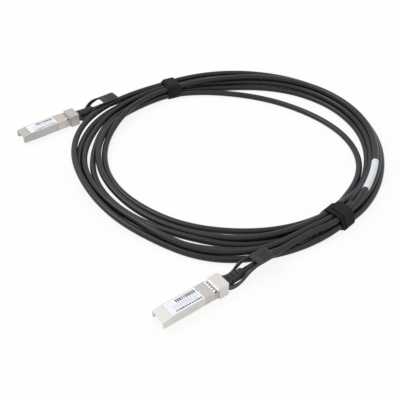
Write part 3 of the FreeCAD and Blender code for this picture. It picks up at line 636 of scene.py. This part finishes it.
@dataclass
class Cord:
    """The cable: two tails and the turns between them.

    Each turn is read at chosen azimuths about the coil's centre, in two regions: the right one
    from the front tie round to the rear tie, and the left one from there back to the front tie.
    The strands then settle: they are drawn to those radii and heights, evened out along the cable
    and kept apart. In the last rounds nothing draws them any more.
    """

    diameter: float = CABLE_DIAMETER
    length: float = 5060.0
    exit: Point = (85.93, -90.75, 5.2)
    near_route: tuple[Point, ...] = (
        (79.55, -95.58, 5.2), (100.3, -79.9, 6.4), (124.5, -62.9, 8.0), (142.9, -49.5, 8.2),
    )
    far_route: tuple[Point, ...] = (
        (13.7, 160.0, 3.0), (-1.5, 152.5, 3.0), (-29.6, 133.7, 4.0), (-52.0, 116.8, 5.2),
    )
    front_azimuth: float = 315.0
    front_radius: float = 118.7
    rear_azimuth: float = 116.5
    rear_radius: float = 117.0
    tie_shift: float = 0.9
    held_reach: float = 4.0
    first_azimuth: float = 307.5
    step: float = 7.5
    stations: int = 311
    tail_radius: float = 121.9375
    tail_height: float = 8.2
    route_samples: int = 60
    station_reach: float = 0.3
    spline_steps: int = 5
    round_steps: int = 7
    settling: Settling = Settling()
    front_slots: tuple[tuple[float, bool], ...] = (
        (1.0, True), (-1.5, False), (-1.0, True), (-0.5, False), (0.0, True), (0.5, False), (1.5, False),
    )
    rear_slots: tuple[tuple[float, bool], ...] = (
        (-1.0, True), (-1.5, False), (-0.5, False), (0.0, True), (0.5, False), (1.0, True), (1.5, False),
    )
    far_boot: tuple[tuple[float, Point], ...] = ((150.0, (140.0, 5.2, 1.3)), (157.5, (146.5, 5.2, 2.0)))
    right_azimuths: tuple[float, ...] = (
        315, 330, 345, 360, 375, 390, 405, 420, 435, 450, 465, 476.5,
    )
    right_radii: dict[str, tuple[float, ...]] = field(default_factory=lambda: {
        "label": (124.0, 123.4, 124.0, 129.2, 133.8, 135.0, 134.6, 130.6, 122.6, 114.6, 112.6, 111.7),
        "loose": (110.75, 114.8, 117.0, 116.6, 113.4, 107.4, 102.2, 100.4, 99.6, 101.4, 106.2, 109.05),
        "inner": (113.4, 118.0, 122.6, 126.4, 131.0, 131.0, 128.4, 124.0, 116.4, 108.8, 111.4, 114.35),
        "raised": (116.05, 120.4, 125.2, 128.6, 133.2, 133.6, 131.8, 128.2, 121.6, 113.6, 115.2, 117.0),
        "middle": (118.7, 121.5, 126.2, 130.2, 134.6, 136.0, 135.6, 133.2, 127.6, 120.6, 119.6, 119.65),
        "outer": (121.35, 123.6, 128.6, 132.0, 136.6, 138.8, 139.0, 138.2, 134.8, 131.0, 125.8, 122.3),
        "rim": (126.65, 126.8, 130.2, 133.8, 138.2, 141.0, 142.0, 141.6, 139.2, 135.8, 130.2, 124.95),
    })
    right_heights: dict[str, tuple[float, ...]] = field(default_factory=lambda: {
        "label": (8.64, 10.6, 10.95, 11.1, 11.1, 11.1, 11.1, 10.8, 10.0, 9.0, 8.8, 8.64),
        "loose": (4.05, 2.7, 2.7, 2.7, 2.7, 2.7, 2.7, 2.7, 2.7, 2.7, 2.9, 4.05),
        "inner": (8.64, 5.6, 2.7, 2.7, 2.7, 2.7, 2.7, 2.7, 2.7, 2.7, 2.9, 4.05),
        "raised": (4.05, 7.5, 7.3, 7.3, 7.3, 7.3, 7.3, 7.3, 7.3, 7.3, 7.6, 8.64),
        "middle": (8.64, 4.0, 2.7, 2.7, 2.7, 2.7, 2.7, 2.7, 2.7, 2.7, 2.9, 4.05),
        "outer": (4.05, 6.0, 7.2, 7.2, 7.2, 7.2, 7.2, 7.3, 7.4, 7.8, 8.2, 8.64),
        "rim": (4.05, 2.7, 2.7, 2.7, 2.7, 2.7, 2.7, 2.7, 2.7, 2.7, 2.9, 4.05),
    })
    left_azimuths: tuple[float, ...] = (
        116.5, 127.5, 135, 150, 157.5, 165, 172.5, 180, 187.5, 195, 202.5, 210,
        217.5, 225, 232.5, 240, 247.5, 255, 262.5, 270, 277.5, 285, 300, 315,
    )
    left_radii: tuple[tuple[float, ...], ...] = (
        (111.7, 111.4, 110.8, 109.0, 107.6, 106.4, 105.2, 103.9, 102.8, 101.5, 99.8, 98.2,
         96.6, 95.2, 94.2, 94.6, 94.6, 94.8, 95.1, 95.8, 97.3, 99.6, 104.7, 110.75),
        (109.05, 109.8, 111.0, 113.0, 112.4, 111.6, 110.6, 109.4, 108.2, 106.6, 104.8, 103.0,
         101.6, 100.8, 100.6, 100.6, 100.8, 101.4, 103.8, 108.4, 110.9, 111.0, 111.6, 113.4),
        (114.35, 115.0, 115.9, 118.0, 115.6, 113.7, 113.2, 113.0, 114.0, 113.6, 112.5, 111.0,
         109.9, 109.0, 107.6, 106.4, 106.4, 106.4, 106.9, 111.6, 113.9, 114.4, 115.0, 116.05),
        (117.0, 118.0, 119.2, 123.0, 122.4, 121.4, 121.7, 122.2, 121.6, 119.2, 117.0, 115.1,
         113.7, 112.5, 112.2, 114.4, 117.6, 121.8, 123.6, 123.4, 123.0, 121.4, 118.8, 118.7),
        (119.65, 120.6, 122.0, 128.5, 128.7, 128.0, 127.4, 126.8, 125.4, 122.8, 120.5, 118.4,
         117.2, 116.4, 114.8, 113.4, 114.8, 117.6, 118.2, 117.2, 116.8, 117.6, 120.4, 121.35),
        (122.3, 123.3, 125.6, 133.7, 134.9, 135.1, 132.7, 130.2, 127.3, 124.2, 122.4, 121.4,
         120.7, 120.2, 119.4, 119.0, 120.4, 123.9, 126.6, 127.6, 127.2, 126.8, 126.6, 126.65),
    )
    left_heights: tuple[tuple[float, ...], ...] = (
        (8.64, 8.4, 8.2, 7.6, 5.6, 3.6, 2.7, 2.7, 2.7, 2.7, 2.7, 2.7,
         2.7, 2.7, 2.7, 2.7, 2.7, 2.7, 2.7, 2.7, 2.7, 2.7, 2.9, 4.05),
        (4.05, 2.7, 2.7, 2.9, 4.6, 6.4, 6.9, 6.6, 6.0, 5.4, 4.8, 4.2,
         3.2, 2.7, 2.7, 2.7, 2.7, 2.7, 2.7, 3.0, 4.2, 5.8, 7.6, 8.64),
        (4.05, 2.7, 2.7, 2.7, 2.7, 2.7, 2.7, 2.7, 2.7, 2.7, 2.7, 2.7,
         2.7, 2.7, 2.7, 2.7, 2.7, 2.7, 2.7, 2.7, 2.7, 2.7, 2.9, 4.05),
        (8.64, 8.2, 7.6, 3.6, 2.9, 2.7, 2.7, 2.7, 4.2, 6.2, 6.5, 6.6,
         6.7, 6.7, 7.2, 7.6, 7.2, 5.6, 2.7, 2.7, 2.7, 4.8, 8.2, 8.64),
        (4.05, 2.7, 2.7, 2.7, 2.7, 2.7, 2.7, 2.7, 2.7, 2.7, 2.7, 2.7,
         2.7, 2.7, 2.7, 2.7, 2.7, 2.7, 2.7, 2.7, 2.7, 2.7, 2.9, 4.05),
        (8.64, 8.2, 8.0, 7.2, 6.5, 5.0, 4.5, 6.6, 7.6, 7.9, 8.0, 7.4,
         7.2, 6.4, 4.4, 2.7, 2.7, 2.7, 2.7, 2.7, 2.7, 2.7, 2.9, 4.05),
    )

    def _targets(self) -> tuple[np.ndarray, np.ndarray, np.ndarray, list[tuple[str, int]]]:
        """Read the tables at every station.

        Returns:
            Azimuth, radius and height of every station, and its region and turn.
        """
        azimuth, radius, height, names = [], [], [], []
        words = list(self.right_radii)
        for index in range(self.stations):
            angle = self.first_azimuth + self.step * index
            turn = int((angle - self.front_azimuth) // 360.0)
            local = angle - 360.0 * turn
            if angle < self.front_azimuth:
                name, aim, rise = ("tail", 0), self.tail_radius, self.tail_height
            elif local < 360.0 + self.rear_azimuth:
                name, word = ("right", turn), words[turn]
                aim = float(np.interp(local, self.right_azimuths, self.right_radii[word]))
                rise = float(np.interp(local, self.right_azimuths, self.right_heights[word]))
            else:
                name = ("left", turn)
                aim = float(np.interp(local - 360.0, self.left_azimuths, self.left_radii[turn]))
                rise = float(np.interp(local - 360.0, self.left_azimuths, self.left_heights[turn]))
            azimuth.append(angle)
            radius.append(aim)
            height.append(rise)
            names.append(name)
        return np.array(azimuth), np.array(radius), np.array(height), names

    def _hold(self, azimuth: np.ndarray, radius: np.ndarray, height: np.ndarray,
              names: list[tuple[str, int]]) -> np.ndarray:
        """Put the stations inside the two ties into the ties' slots.

        Args:
            azimuth: Azimuth of each station.
            radius: Radius of each station, changed in place.
            height: Height of each station, changed in place.
            names: Region and turn of each station.

        Returns:
            A mask of the held stations.
        """
        bundle = Bundle()
        held = np.zeros(len(azimuth), bool)
        for centre, middle, slots in (
            (self.rear_azimuth, self.rear_radius, self.rear_slots),
            (self.front_azimuth, self.front_radius, self.front_slots),
        ):
            for index, angle in enumerate(azimuth):
                if abs(angle % 360.0 - centre) < self.held_reach:
                    offset, height[index] = bundle.slot(*slots[names[index][1]])
                    radius[index] = middle + offset
                    held[index] = True
        return held

    def _obstacles(self) -> dict[float, Point]:
        """Find where the tails and the far boot cross the stations' azimuths.

        Returns:
            By azimuth, the radius and height of what crosses there, and the extra room it needs.
        """
        found: dict[float, Point] = {}
        for route in (self.near_route, self.far_route):
            for begin, end in zip(route[:-1], route[1:]):
                for share in np.linspace(0.0, 1.0, self.route_samples):
                    spot = np.array(begin) * (1.0 - share) + np.array(end) * share
                    east, north = spot[0] - COIL_CENTRE[0], spot[1] - COIL_CENTRE[1]
                    angle = math.degrees(math.atan2(north, east)) % 360.0
                    station = round(angle / self.step) * self.step
                    if abs(angle - station) < self.station_reach:
                        found[station] = (math.hypot(east, north), spot[2], 0.0)
        found.update(self.far_boot)
        return found

    def settle(self) -> list[Point]:
        """Let the strands settle against each other.

        Returns:
            The centre line's points, in order along the cable.
        """
        plan = self.settling
        azimuth, aim, height, names = self._targets()
        radius = aim.copy()
        held = self._hold(azimuth, radius, height, names)
        aim[held] = radius[held]
        rise = height.copy()
        free = ~held
        obstacles = self._obstacles()
        groups: dict[float, list[int]] = {}
        for index, angle in enumerate(azimuth):
            groups.setdefault(round(angle % 360.0, 2), []).append(index)
        for index in range(plan.rounds):
            drawn = index < plan.rounds - plan.loose_rounds
            if drawn:
                radius += (aim - radius) * plan.radius_pull * free
                height += (rise - height) * plan.height_pull * free
            share = 1.0 if drawn else plan.loose_smoothing
            for values, smoothing in ((radius, plan.radius_smoothing), (height, plan.height_smoothing)):
                middle = (values[:-2] + values[2:]) / 2.0
                values[1:-1] += smoothing * share * (middle - values[1:-1]) * free[1:-1]
            for _ in range(plan.passes):
                for angle, members in groups.items():
                    self._part(members, radius, height, free)
                    if angle in obstacles:
                        self._clear(members, radius, height, free, names, obstacles[angle])
            np.clip(height, plan.lowest, plan.highest, out=height)
        turns = np.radians(azimuth)
        # The spline passes through the middle between its points, not through the points.
        radius /= math.cos(math.radians(self.step / 2.0))
        east = COIL_CENTRE[0] + radius * np.cos(turns)
        north = COIL_CENTRE[1] + radius * np.sin(turns)
        return [tuple(float(value) for value in row) for row in zip(east, north, height)]

    def _part(self, members: list[int], radius: np.ndarray, height: np.ndarray, free: np.ndarray) -> None:
        """Push strands at one azimuth apart.

        Args:
            members: The stations at this azimuth.
            radius: Radius of each station, changed in place.
            height: Height of each station, changed in place.
            free: A mask of the stations that no tie holds.
        """
        for place, one in enumerate(members):
            for other in members[place + 1:]:
                run, rise = radius[other] - radius[one], height[other] - height[one]
                gap = math.hypot(run, rise)
                total = float(free[one]) + float(free[other])
                if gap >= self.settling.spacing or total == 0.0:
                    continue
                gap = max(gap, self.settling.least_gap)
                push = (self.settling.spacing - gap) / gap / total
                radius[one] -= run * push * free[one]
                height[one] -= rise * push * free[one]
                radius[other] += run * push * free[other]
                height[other] += rise * push * free[other]

    def _clear(self, members: list[int], radius: np.ndarray, height: np.ndarray, free: np.ndarray,
               names: list[tuple[str, int]], spot: Point) -> None:
        """Push strands at one azimuth away from a tail or a boot.

        Args:
            members: The stations at this azimuth.
            radius: Radius of each station, changed in place.
            height: Height of each station, changed in place.
            free: A mask of the stations that no tie holds.
            names: Region and turn of each station.
            spot: Radius, height and extra room of what crosses here.
        """
        for index in members:
            if names[index][0] == "tail" or not free[index]:
                continue
            run, rise = radius[index] - spot[0], height[index] - spot[1]
            gap = max(math.hypot(run, rise), self.settling.least_gap)
            need = self.settling.spacing + spot[2]
            if gap < need:
                radius[index] += run * (need - gap) / gap
                height[index] += rise * (need - gap) / gap

    def build(self, wardrobe: Wardrobe) -> bpy.types.Object:
        """Make the cable as one smooth spline through tails and turns.

        Args:
            wardrobe: The finishes.

        Returns:
            The cord's curve object.
        """
        points = [*self.near_route, *self.settle(), *self.far_route]
        curve = bpy.data.curves.new("Cable", "CURVE")
        curve.dimensions = "3D"
        spline = curve.splines.new("NURBS")
        spline.points.add(len(points) - 1)
        for spot, place in zip(spline.points, points):
            spot.co = (*scaled(place), 1.0)
        spline.order_u = 3
        spline.use_endpoint_u = True
        spline.resolution_u = self.spline_steps
        curve.bevel_depth = self.diameter / 2.0 * MM
        curve.bevel_resolution = self.round_steps
        curve.use_fill_caps = True
        item = add_object("cable", curve)
        wardrobe.hand_over(item, CABLE_JACKET, "root", "cable_coil", "near_cable_tail", "far_cable_tail")
        return item

    def centre_line(self, item: bpy.types.Object) -> list[Vector]:
        """Read the points of the spline itself, in order.

        Args:
            item: The cord's curve object.

        Returns:
            Points in metres.
        """
        thin = item.copy()
        thin.data = item.data.copy()
        thin.data.bevel_depth = 0.0
        bpy.context.scene.collection.objects.link(thin)
        graph = bpy.context.evaluated_depsgraph_get()
        mesh = bpy.data.meshes.new_from_object(thin.evaluated_get(graph))
        line = [vertex.co.copy() for vertex in mesh.vertices]
        bpy.data.objects.remove(thin)
        bpy.data.meshes.remove(mesh)
        return line


@dataclass
class Strap:
    """Builds flat bands that follow a line, as closed solids with a map in metres of strap."""

    width: float = 11.0
    thickness: float = 1.2
    edge: float = 0.3

    def solid(self, name: str, line: list[Vector], across: list[Vector], outward: list[Vector],
              closed: bool, widths: list[float] | None = None) -> bpy.types.Object:
        """Sweep the band's section along a line.

        Args:
            name: The object's name.
            line: Middle of the band's thickness, in metres.
            across: Unit directions of the width.
            outward: Unit directions of the thickness.
            closed: Whether the last section joins the first.
            widths: Width at each point in millimetres, if it changes.

        Returns:
            The band.
        """
        thick = self.thickness / 2.0 * MM
        edge = self.edge * MM
        vertices, maps = [], []
        along = 0.0
        for index, spot in enumerate(line):
            if index:
                along += (spot - line[index - 1]).length
            half = (widths[index] if widths else self.width) / 2.0 * MM
            section = [
                (-half, -thick + edge), (-half + edge, -thick), (half - edge, -thick), (half, -thick + edge),
                (half, thick - edge), (half - edge, thick), (-half + edge, thick), (-half, thick - edge),
            ]
            for side, rise in section:
                vertices.append(spot + across[index] * side + outward[index] * rise)
                maps.append((along, side))
        ring = len(section)
        faces = []
        count = len(line)
        for index in range(count if closed else count - 1):
            ahead = (index + 1) % count
            for corner in range(ring):
                after = (corner + 1) % ring
                faces.append((
                    index * ring + corner, index * ring + after, ahead * ring + after, ahead * ring + corner,
                ))
        if not closed:
            faces.append(tuple(reversed(range(ring))))
            faces.append(tuple((count - 1) * ring + corner for corner in range(ring)))
        mesh = bpy.data.meshes.new(name)
        mesh.from_pydata(vertices, [], faces)
        layer = mesh.uv_layers.new(name=STRAP_MAP)
        for loop in mesh.loops:
            layer.data[loop.index].uv = maps[loop.vertex_index]
        recalculate(mesh)
        return add_object(name, mesh)


@dataclass
class Tie:
    """A hook-and-loop tie: a loop round the bundle's outline, and the end that laps over it."""

    word: str
    azimuth: float
    radius: float
    lap_from: float
    lap_to: float
    lap_shift: tuple[float, float]
    lap_point: float
    slack: float = 0.12
    corner_step: float = 14.0
    least_steps: int = 3
    flat_step: float = 1.5
    tapered: int = 3
    strap: Strap = field(default_factory=Strap)

    def _outline(self, reach: float) -> list[OutlinePoint]:
        """Trace the bundle's outline at a distance from the strands' centres.

        Args:
            reach: Distance from the outer strands' centres.

        Returns:
            Offset outward, height, and the outward normal's two parts, anticlockwise from the
            lower outer corner.
        """
        bundle = Bundle()
        ends = ((1.5, False), (1.0, True), (-1.0, True), (-1.5, False))
        corners = [bundle.slot(step, raised) for step, raised in ends]
        count = len(corners)
        points = []
        for index, corner in enumerate(corners):
            before = corners[index - 1]
            after = corners[(index + 1) % count]
            first = math.atan2(corner[1] - before[1], corner[0] - before[0]) - math.pi / 2.0
            last = math.atan2(after[1] - corner[1], after[0] - corner[0]) - math.pi / 2.0
            sweep = (last - first) % (2.0 * math.pi)
            steps = max(self.least_steps, round(sweep / math.radians(self.corner_step)))
            for piece in range(steps + 1):
                angle = first + sweep * piece / steps
                points.append((
                    corner[0] + reach * math.cos(angle), corner[1] + reach * math.sin(angle),
                    math.cos(angle), math.sin(angle),
                ))
            run = math.hypot(after[0] - corner[0], after[1] - corner[1])
            inner = int(run // self.flat_step)
            for piece in range(1, inner):
                share = piece / inner
                points.append((
                    corner[0] + (after[0] - corner[0]) * share + reach * math.cos(last),
                    corner[1] + (after[1] - corner[1]) * share + reach * math.sin(last),
                    math.cos(last), math.sin(last),
                ))
        return points

    def _frame(self) -> tuple[Vector, Vector, Vector]:
        """Find where the tie sits on the coil.

        Returns:
            Its place in metres, and the directions outward and along the bundle.
        """
        angle = math.radians(self.azimuth)
        outward = Vector((math.cos(angle), math.sin(angle), 0.0))
        along = Vector((-math.sin(angle), math.cos(angle), 0.0))
        middle = Vector((*COIL_CENTRE, 0.0)) + outward * self.radius
        return middle * MM, outward, along

    def _placed(self, points: list[OutlinePoint],
                shifts: list[float]) -> tuple[list[Vector], list[Vector], list[Vector]]:
        """Put outline points in their place on the coil.

        Args:
            points: Points of the outline.
            shifts: How far each one lies along the bundle, in millimetres.

        Returns:
            Places in metres, and at each one the directions of the strap's width and thickness.
        """
        middle, outward, along = self._frame()
        line = [
            middle + (outward * offset + UP * rise + along * shift) * MM
            for (offset, rise, _, _), shift in zip(points, shifts)
        ]
        normals = [(outward * first + UP * second).normalized() for _, _, first, second in points]
        return line, [along] * len(line), normals

    def _span(self, points: list[OutlinePoint]) -> list[OutlinePoint]:
        """Choose the outline points that the lap covers.

        Args:
            points: Points of the outline.

        Returns:
            Those that face between the lap's two directions, in turning order.
        """
        chosen = []
        for point in points:
            turn = math.degrees(math.atan2(point[3], point[2]))
            if self.lap_from <= turn <= self.lap_to:
                chosen.append(point)
        return chosen

    def build(self, wardrobe: Wardrobe) -> list[bpy.types.Object]:
        """Make the loop and its lap.

        Args:
            wardrobe: The finishes.

        Returns:
            The tie's pieces.
        """
        reach = CABLE_DIAMETER / 2.0 + self.slack + self.strap.thickness / 2.0
        ring = self._outline(reach)
        line, across, normals = self._placed(ring, [0.0] * len(ring))
        loop = self.strap.solid(self.word + "_tie_loop", line, across, normals, closed=True)
        wardrobe.hand_over(loop, TIE_FABRIC, "root", self.word + "_tie")
        chosen = self._span(self._outline(reach + self.strap.thickness))
        count = len(chosen)
        shifts = [
            self.lap_shift[0] + (self.lap_shift[1] - self.lap_shift[0]) * index / (count - 1)
            for index in range(count)
        ]
        widths = [self.strap.width] * count
        for index in range(self.tapered):
            share = self.lap_point + (1.0 - self.lap_point) * index / self.tapered
            widths[-1 - index] = self.strap.width * share
        line, across, normals = self._placed(chosen, shifts)
        lap = self.strap.solid(self.word + "_tie_lap", line, across, normals, closed=False, widths=widths)
        wardrobe.hand_over(lap, TIE_FABRIC, "root", self.word + "_tie")
        return [loop, lap]


@dataclass
class CableLabel:
    """The wrap label: a thin sleeve on one strand."""

    start: float = 333.6
    end: float = 352.4
    radius: float = CABLE_DIAMETER / 2.0
    clearance: float = 0.02
    thickness: float = 0.22
    sides: int = 28
    sharp_angle: float = 40.0

    def build(self, wardrobe: Wardrobe, line: list[Vector]) -> bpy.types.Object:
        """Wrap the sleeve round the strand's centre line.

        Args:
            wardrobe: The finishes.
            line: The cable's centre line.

        Returns:
            The sleeve.
        """
        path = []
        for spot in line:
            east, north = spot.x / MM - COIL_CENTRE[0], spot.y / MM - COIL_CENTRE[1]
            azimuth = math.degrees(math.atan2(north, east)) % 360.0
            if self.start <= azimuth <= self.end:
                path.append(spot)
            elif path and azimuth > self.end:
                break
        vertices, maps = [], []
        count = len(path)
        outer, inner = self.radius + self.thickness, self.radius + self.clearance
        for layer in (outer, inner):
            for index, spot in enumerate(path):
                ahead = path[min(index + 1, count - 1)] - path[max(index - 1, 0)]
                ahead.normalize()
                across = ahead.cross(UP).normalized()
                over = across.cross(ahead)
                for corner in range(self.sides):
                    angle = 2.0 * math.pi * corner / self.sides
                    lift = across * math.cos(angle) + over * math.sin(angle)
                    vertices.append(spot + lift * layer * MM)
                    maps.append((index / count, corner / self.sides))
        faces = []
        shell = count * self.sides
        for base, flip in ((0, False), (shell, True)):
            for index in range(count - 1):
                for corner in range(self.sides):
                    after = (corner + 1) % self.sides
                    near, far = base + index * self.sides, base + (index + 1) * self.sides
                    face = (near + corner, near + after, far + after, far + corner)
                    faces.append(tuple(reversed(face)) if flip else face)
        for row in (0, count - 1):
            for corner in range(self.sides):
                after = (corner + 1) % self.sides
                first = row * self.sides
                faces.append((first + corner, shell + first + corner, shell + first + after, first + after))
        mesh = bpy.data.meshes.new("cable_label_sleeve")
        mesh.from_pydata(vertices, [], faces)
        recalculate(mesh, merge=True)
        for polygon in mesh.polygons:
            polygon.use_smooth = True
        mesh.set_sharp_from_angle(angle=math.radians(self.sharp_angle))
        item = add_object("cable_label_sleeve", mesh)
        wardrobe.hand_over(item, SLEEVE_PAPER, "root", "cable_label")
        return item


@dataclass(frozen=True)
class PrintRow:
    """One row of plain printed blocks on a plug's label, in the plug's own frame."""

    word: str
    start: float
    across: float
    count: int
    pitch: float
    block_length: float
    block_width: float
    change: float
    seed: int
    finish: Finish


class BlockRowTree:
    """Geometry Nodes tree that repeats a block along a row, with a little change in length."""

    def __init__(self) -> None:
        """Build the tree once."""
        tree = bpy.data.node_groups.new("Row of blocks", "GeometryNodeTree")
        self.tree = tree
        names = (
            ("Count", "NodeSocketInt"), ("Pitch", "NodeSocketFloat"), ("Length", "NodeSocketFloat"),
            ("Width", "NodeSocketFloat"), ("Height", "NodeSocketFloat"), ("Change", "NodeSocketFloat"),
            ("Seed", "NodeSocketInt"), ("Material", "NodeSocketMaterial"),
        )
        self.keys = {}
        for name, kind in names:
            socket = tree.interface.new_socket(name, in_out="INPUT", socket_type=kind)
            self.keys[name] = socket.identifier
        tree.interface.new_socket("Geometry", in_out="OUTPUT", socket_type="NodeSocketGeometry")
        graph = Graph(tree)
        source = graph.add("NodeGroupInput")
        result = graph.add("NodeGroupOutput")
        offset = graph.add("ShaderNodeCombineXYZ")
        graph.join(source.outputs["Pitch"], offset.inputs["X"])
        line = graph.add("GeometryNodeMeshLine", {"mode": "OFFSET"})
        graph.join(source.outputs["Count"], line.inputs["Count"])
        graph.join(offset.outputs[0], line.inputs["Offset"])
        size = graph.add("ShaderNodeCombineXYZ")
        graph.join(source.outputs["Length"], size.inputs["X"])
        graph.join(source.outputs["Width"], size.inputs["Y"])
        graph.join(source.outputs["Height"], size.inputs["Z"])
        block = graph.add("GeometryNodeMeshCube")
        graph.join(size.outputs[0], block.inputs["Size"])
        lowest = graph.maths("SUBTRACT", 1.0, source.outputs["Change"])
        chance = graph.add("FunctionNodeRandomValue", {"data_type": "FLOAT"})
        graph.join(lowest, chance.inputs[RANDOM_LOW])
        chance.inputs[RANDOM_HIGH].default_value = 1.0
        graph.join(source.outputs["Seed"], chance.inputs["Seed"])
        stretch = graph.add("ShaderNodeCombineXYZ")
        stretch.inputs["Y"].default_value = 1.0
        stretch.inputs["Z"].default_value = 1.0
        graph.join(chance.outputs[RANDOM_RESULT], stretch.inputs["X"])
        spread = graph.add("GeometryNodeInstanceOnPoints")
        graph.join(line.outputs["Mesh"], spread.inputs["Points"])
        graph.join(block.outputs["Mesh"], spread.inputs["Instance"])
        graph.join(stretch.outputs[0], spread.inputs["Scale"])
        real = graph.add("GeometryNodeRealizeInstances")
        graph.join(spread.outputs[0], real.inputs[0])
        paint = graph.add("GeometryNodeSetMaterial")
        graph.join(real.outputs[0], paint.inputs["Geometry"])
        graph.join(source.outputs["Material"], paint.inputs["Material"])
        graph.join(paint.outputs[0], result.inputs[0])

    def make(self, name: str, values: dict[str, object], place: Matrix) -> bpy.types.Object:
        """Evaluate one row and keep it as a plain mesh.

        Args:
            name: The piece's name.
            values: Input values by name.
            place: The row's place in the row frame.

        Returns:
            The row, with its place in its mesh.
        """
        carrier = add_object(name + "_maker", bpy.data.meshes.new(name + "_maker"))
        modifier = carrier.modifiers.new("Row", "NODES")
        modifier.node_group = self.tree
        for word, value in values.items():
            modifier[self.keys[word]] = value
        graph = bpy.context.evaluated_depsgraph_get()
        mesh = bpy.data.meshes.new_from_object(carrier.evaluated_get(graph))
        carrier.modifiers.clear()
        bpy.data.objects.remove(carrier)
        mesh.name = name
        mesh.transform(place)
        return add_object(name, mesh)


@dataclass
class Plug:
    """One plug's finishes, and the print on its label."""

    side: Side
    shell: Finish
    label_top: float = 8.6
    ink_height: float = 0.04
    axis_height: float = 4.25
    release_travel: float = 2.0
    # Word, start, across, count, pitch, block's length and width, change, seed and finish.
    rows: tuple[PrintRow, ...] = (
        PrintRow("code", 15.0, -3.3, 10, 1.66, 1.2, 2.7, 0.5, 3, LABEL_INK),
        PrintRow("mark", 12.9, -3.3, 1, 1.0, 0.5, 1.5, 0.1, 5, LABEL_INK),
        PrintRow("text_a", 15.0, -0.6, 9, 2.4, 2.1, 0.55, 0.4, 7, FAINT_INK),
        PrintRow("text_b", 15.0, 0.9, 9, 2.4, 2.1, 0.55, 0.4, 11, FAINT_INK),
        PrintRow("text_c", 17.0, 2.4, 8, 2.4, 2.1, 0.55, 0.4, 13, FAINT_INK),
        PrintRow("dashes", 14.2, 4.35, 12, 1.85, 1.7, 1.05, 0.35, 17, LABEL_INK),
    )

    def place(self) -> Matrix:
        """Read the plug's place from its cage mount.

        Returns:
            The plug's frame in the row frame.
        """
        mounts = frame["record"]["mounts"]
        mount = next(item for item in mounts if item["name"] == self.side.value + "_cage_slide")
        nose = Vector(mount["axis"]).normalized()
        origin = Vector(mount["pos_m"]) - Vector((0.0, 0.0, self.axis_height * MM))
        turn = math.atan2(nose.y, nose.x)
        return Matrix.Translation(origin) @ Matrix.Rotation(turn, 4, "Z")

    def dress(self, wardrobe: Wardrobe) -> None:
        """Give each of the plug's solids its finish.

        Args:
            wardrobe: The finishes.
        """
        finishes = {
            "upper_shell": self.shell, "lower_shell": self.shell, "slider": STAMPED_STEEL,
            "pull_tab": TAB_PLASTIC, "return_springs": SPRING_WIRE, "boot": BOOT_RUBBER,
            "ferrule": FERRULE_BRASS, "paddle_card": CARD_BOARD, "card_contacts": GOLD_CONTACT,
            "card_parts": CHIP_PLASTIC, "wire_pairs": WIRE_INSULATION, "spring_collar": COLLAR_BRONZE,
            "label": LABEL_PAPER, "shell_screws": SCREW_STEEL,
        }
        for word, finish in finishes.items():
            node = "%s_%s" % (self.side.value, word)
            wardrobe.dress(frame["nodes"][node], finish)
            log.info("%s has %s", node, finish.name)

    def soften_springs(self) -> None:
        """Give the return springs a mesh of their own."""
        springs = frame["nodes"][self.side.value + "_return_springs"]
        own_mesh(springs)

    def build_print(self, wardrobe: Wardrobe, tree: BlockRowTree) -> None:
        """Lay the rows of print on the label.

        Args:
            wardrobe: The finishes.
            tree: The tree that repeats a block.
        """
        home = self.place()
        for row in self.rows:
            values = {
                "Count": row.count, "Pitch": row.pitch * MM, "Length": row.block_length * MM,
                "Width": row.block_width * MM, "Height": self.ink_height * MM, "Change": row.change,
                "Seed": row.seed, "Material": wardrobe.material(row.finish),
            }
            spot = Matrix.Translation(scaled((row.start, row.across, self.label_top + self.ink_height / 2.0)))
            name = "%s_label_%s" % (self.side.value, row.word)
            item = tree.make(name, values, home @ spot)
            wardrobe.hand_over(item, row.finish, "root")


def main() -> None:
    """Build the studio, the cord and every dressed piece in order."""
    logging.basicConfig(level=logging.INFO, format="%(name)s: %(message)s")
    Studio().build()
    wardrobe = Wardrobe()
    cord = Cord()
    cable = cord.build(wardrobe)
    ties = [
        Tie("rear", azimuth=cord.rear_azimuth - cord.tie_shift, radius=cord.rear_radius,
            lap_from=60.0, lap_to=180.0, lap_shift=(-1.0, -2.8), lap_point=0.35),
        Tie("front", azimuth=cord.front_azimuth + cord.tie_shift, radius=cord.front_radius,
            lap_from=-60.0, lap_to=95.0, lap_shift=(1.5, 3.8), lap_point=0.9),
    ]
    pieces = [piece for tie in ties for piece in tie.build(wardrobe)]
    pieces.append(CableLabel().build(wardrobe, cord.centre_line(cable)))
    tree = BlockRowTree()
    # The far plug takes the near plug's casting with painted shade in its colour.
    for plug in (Plug(Side.NEAR, CAST_NICKEL), Plug(Side.FAR, CAST_NICKEL_PAINTED_SHADE)):
        plug.dress(wardrobe)
        plug.soften_springs()
        plug.build_print(wardrobe, tree)


if __name__ == "__main__":
    main()
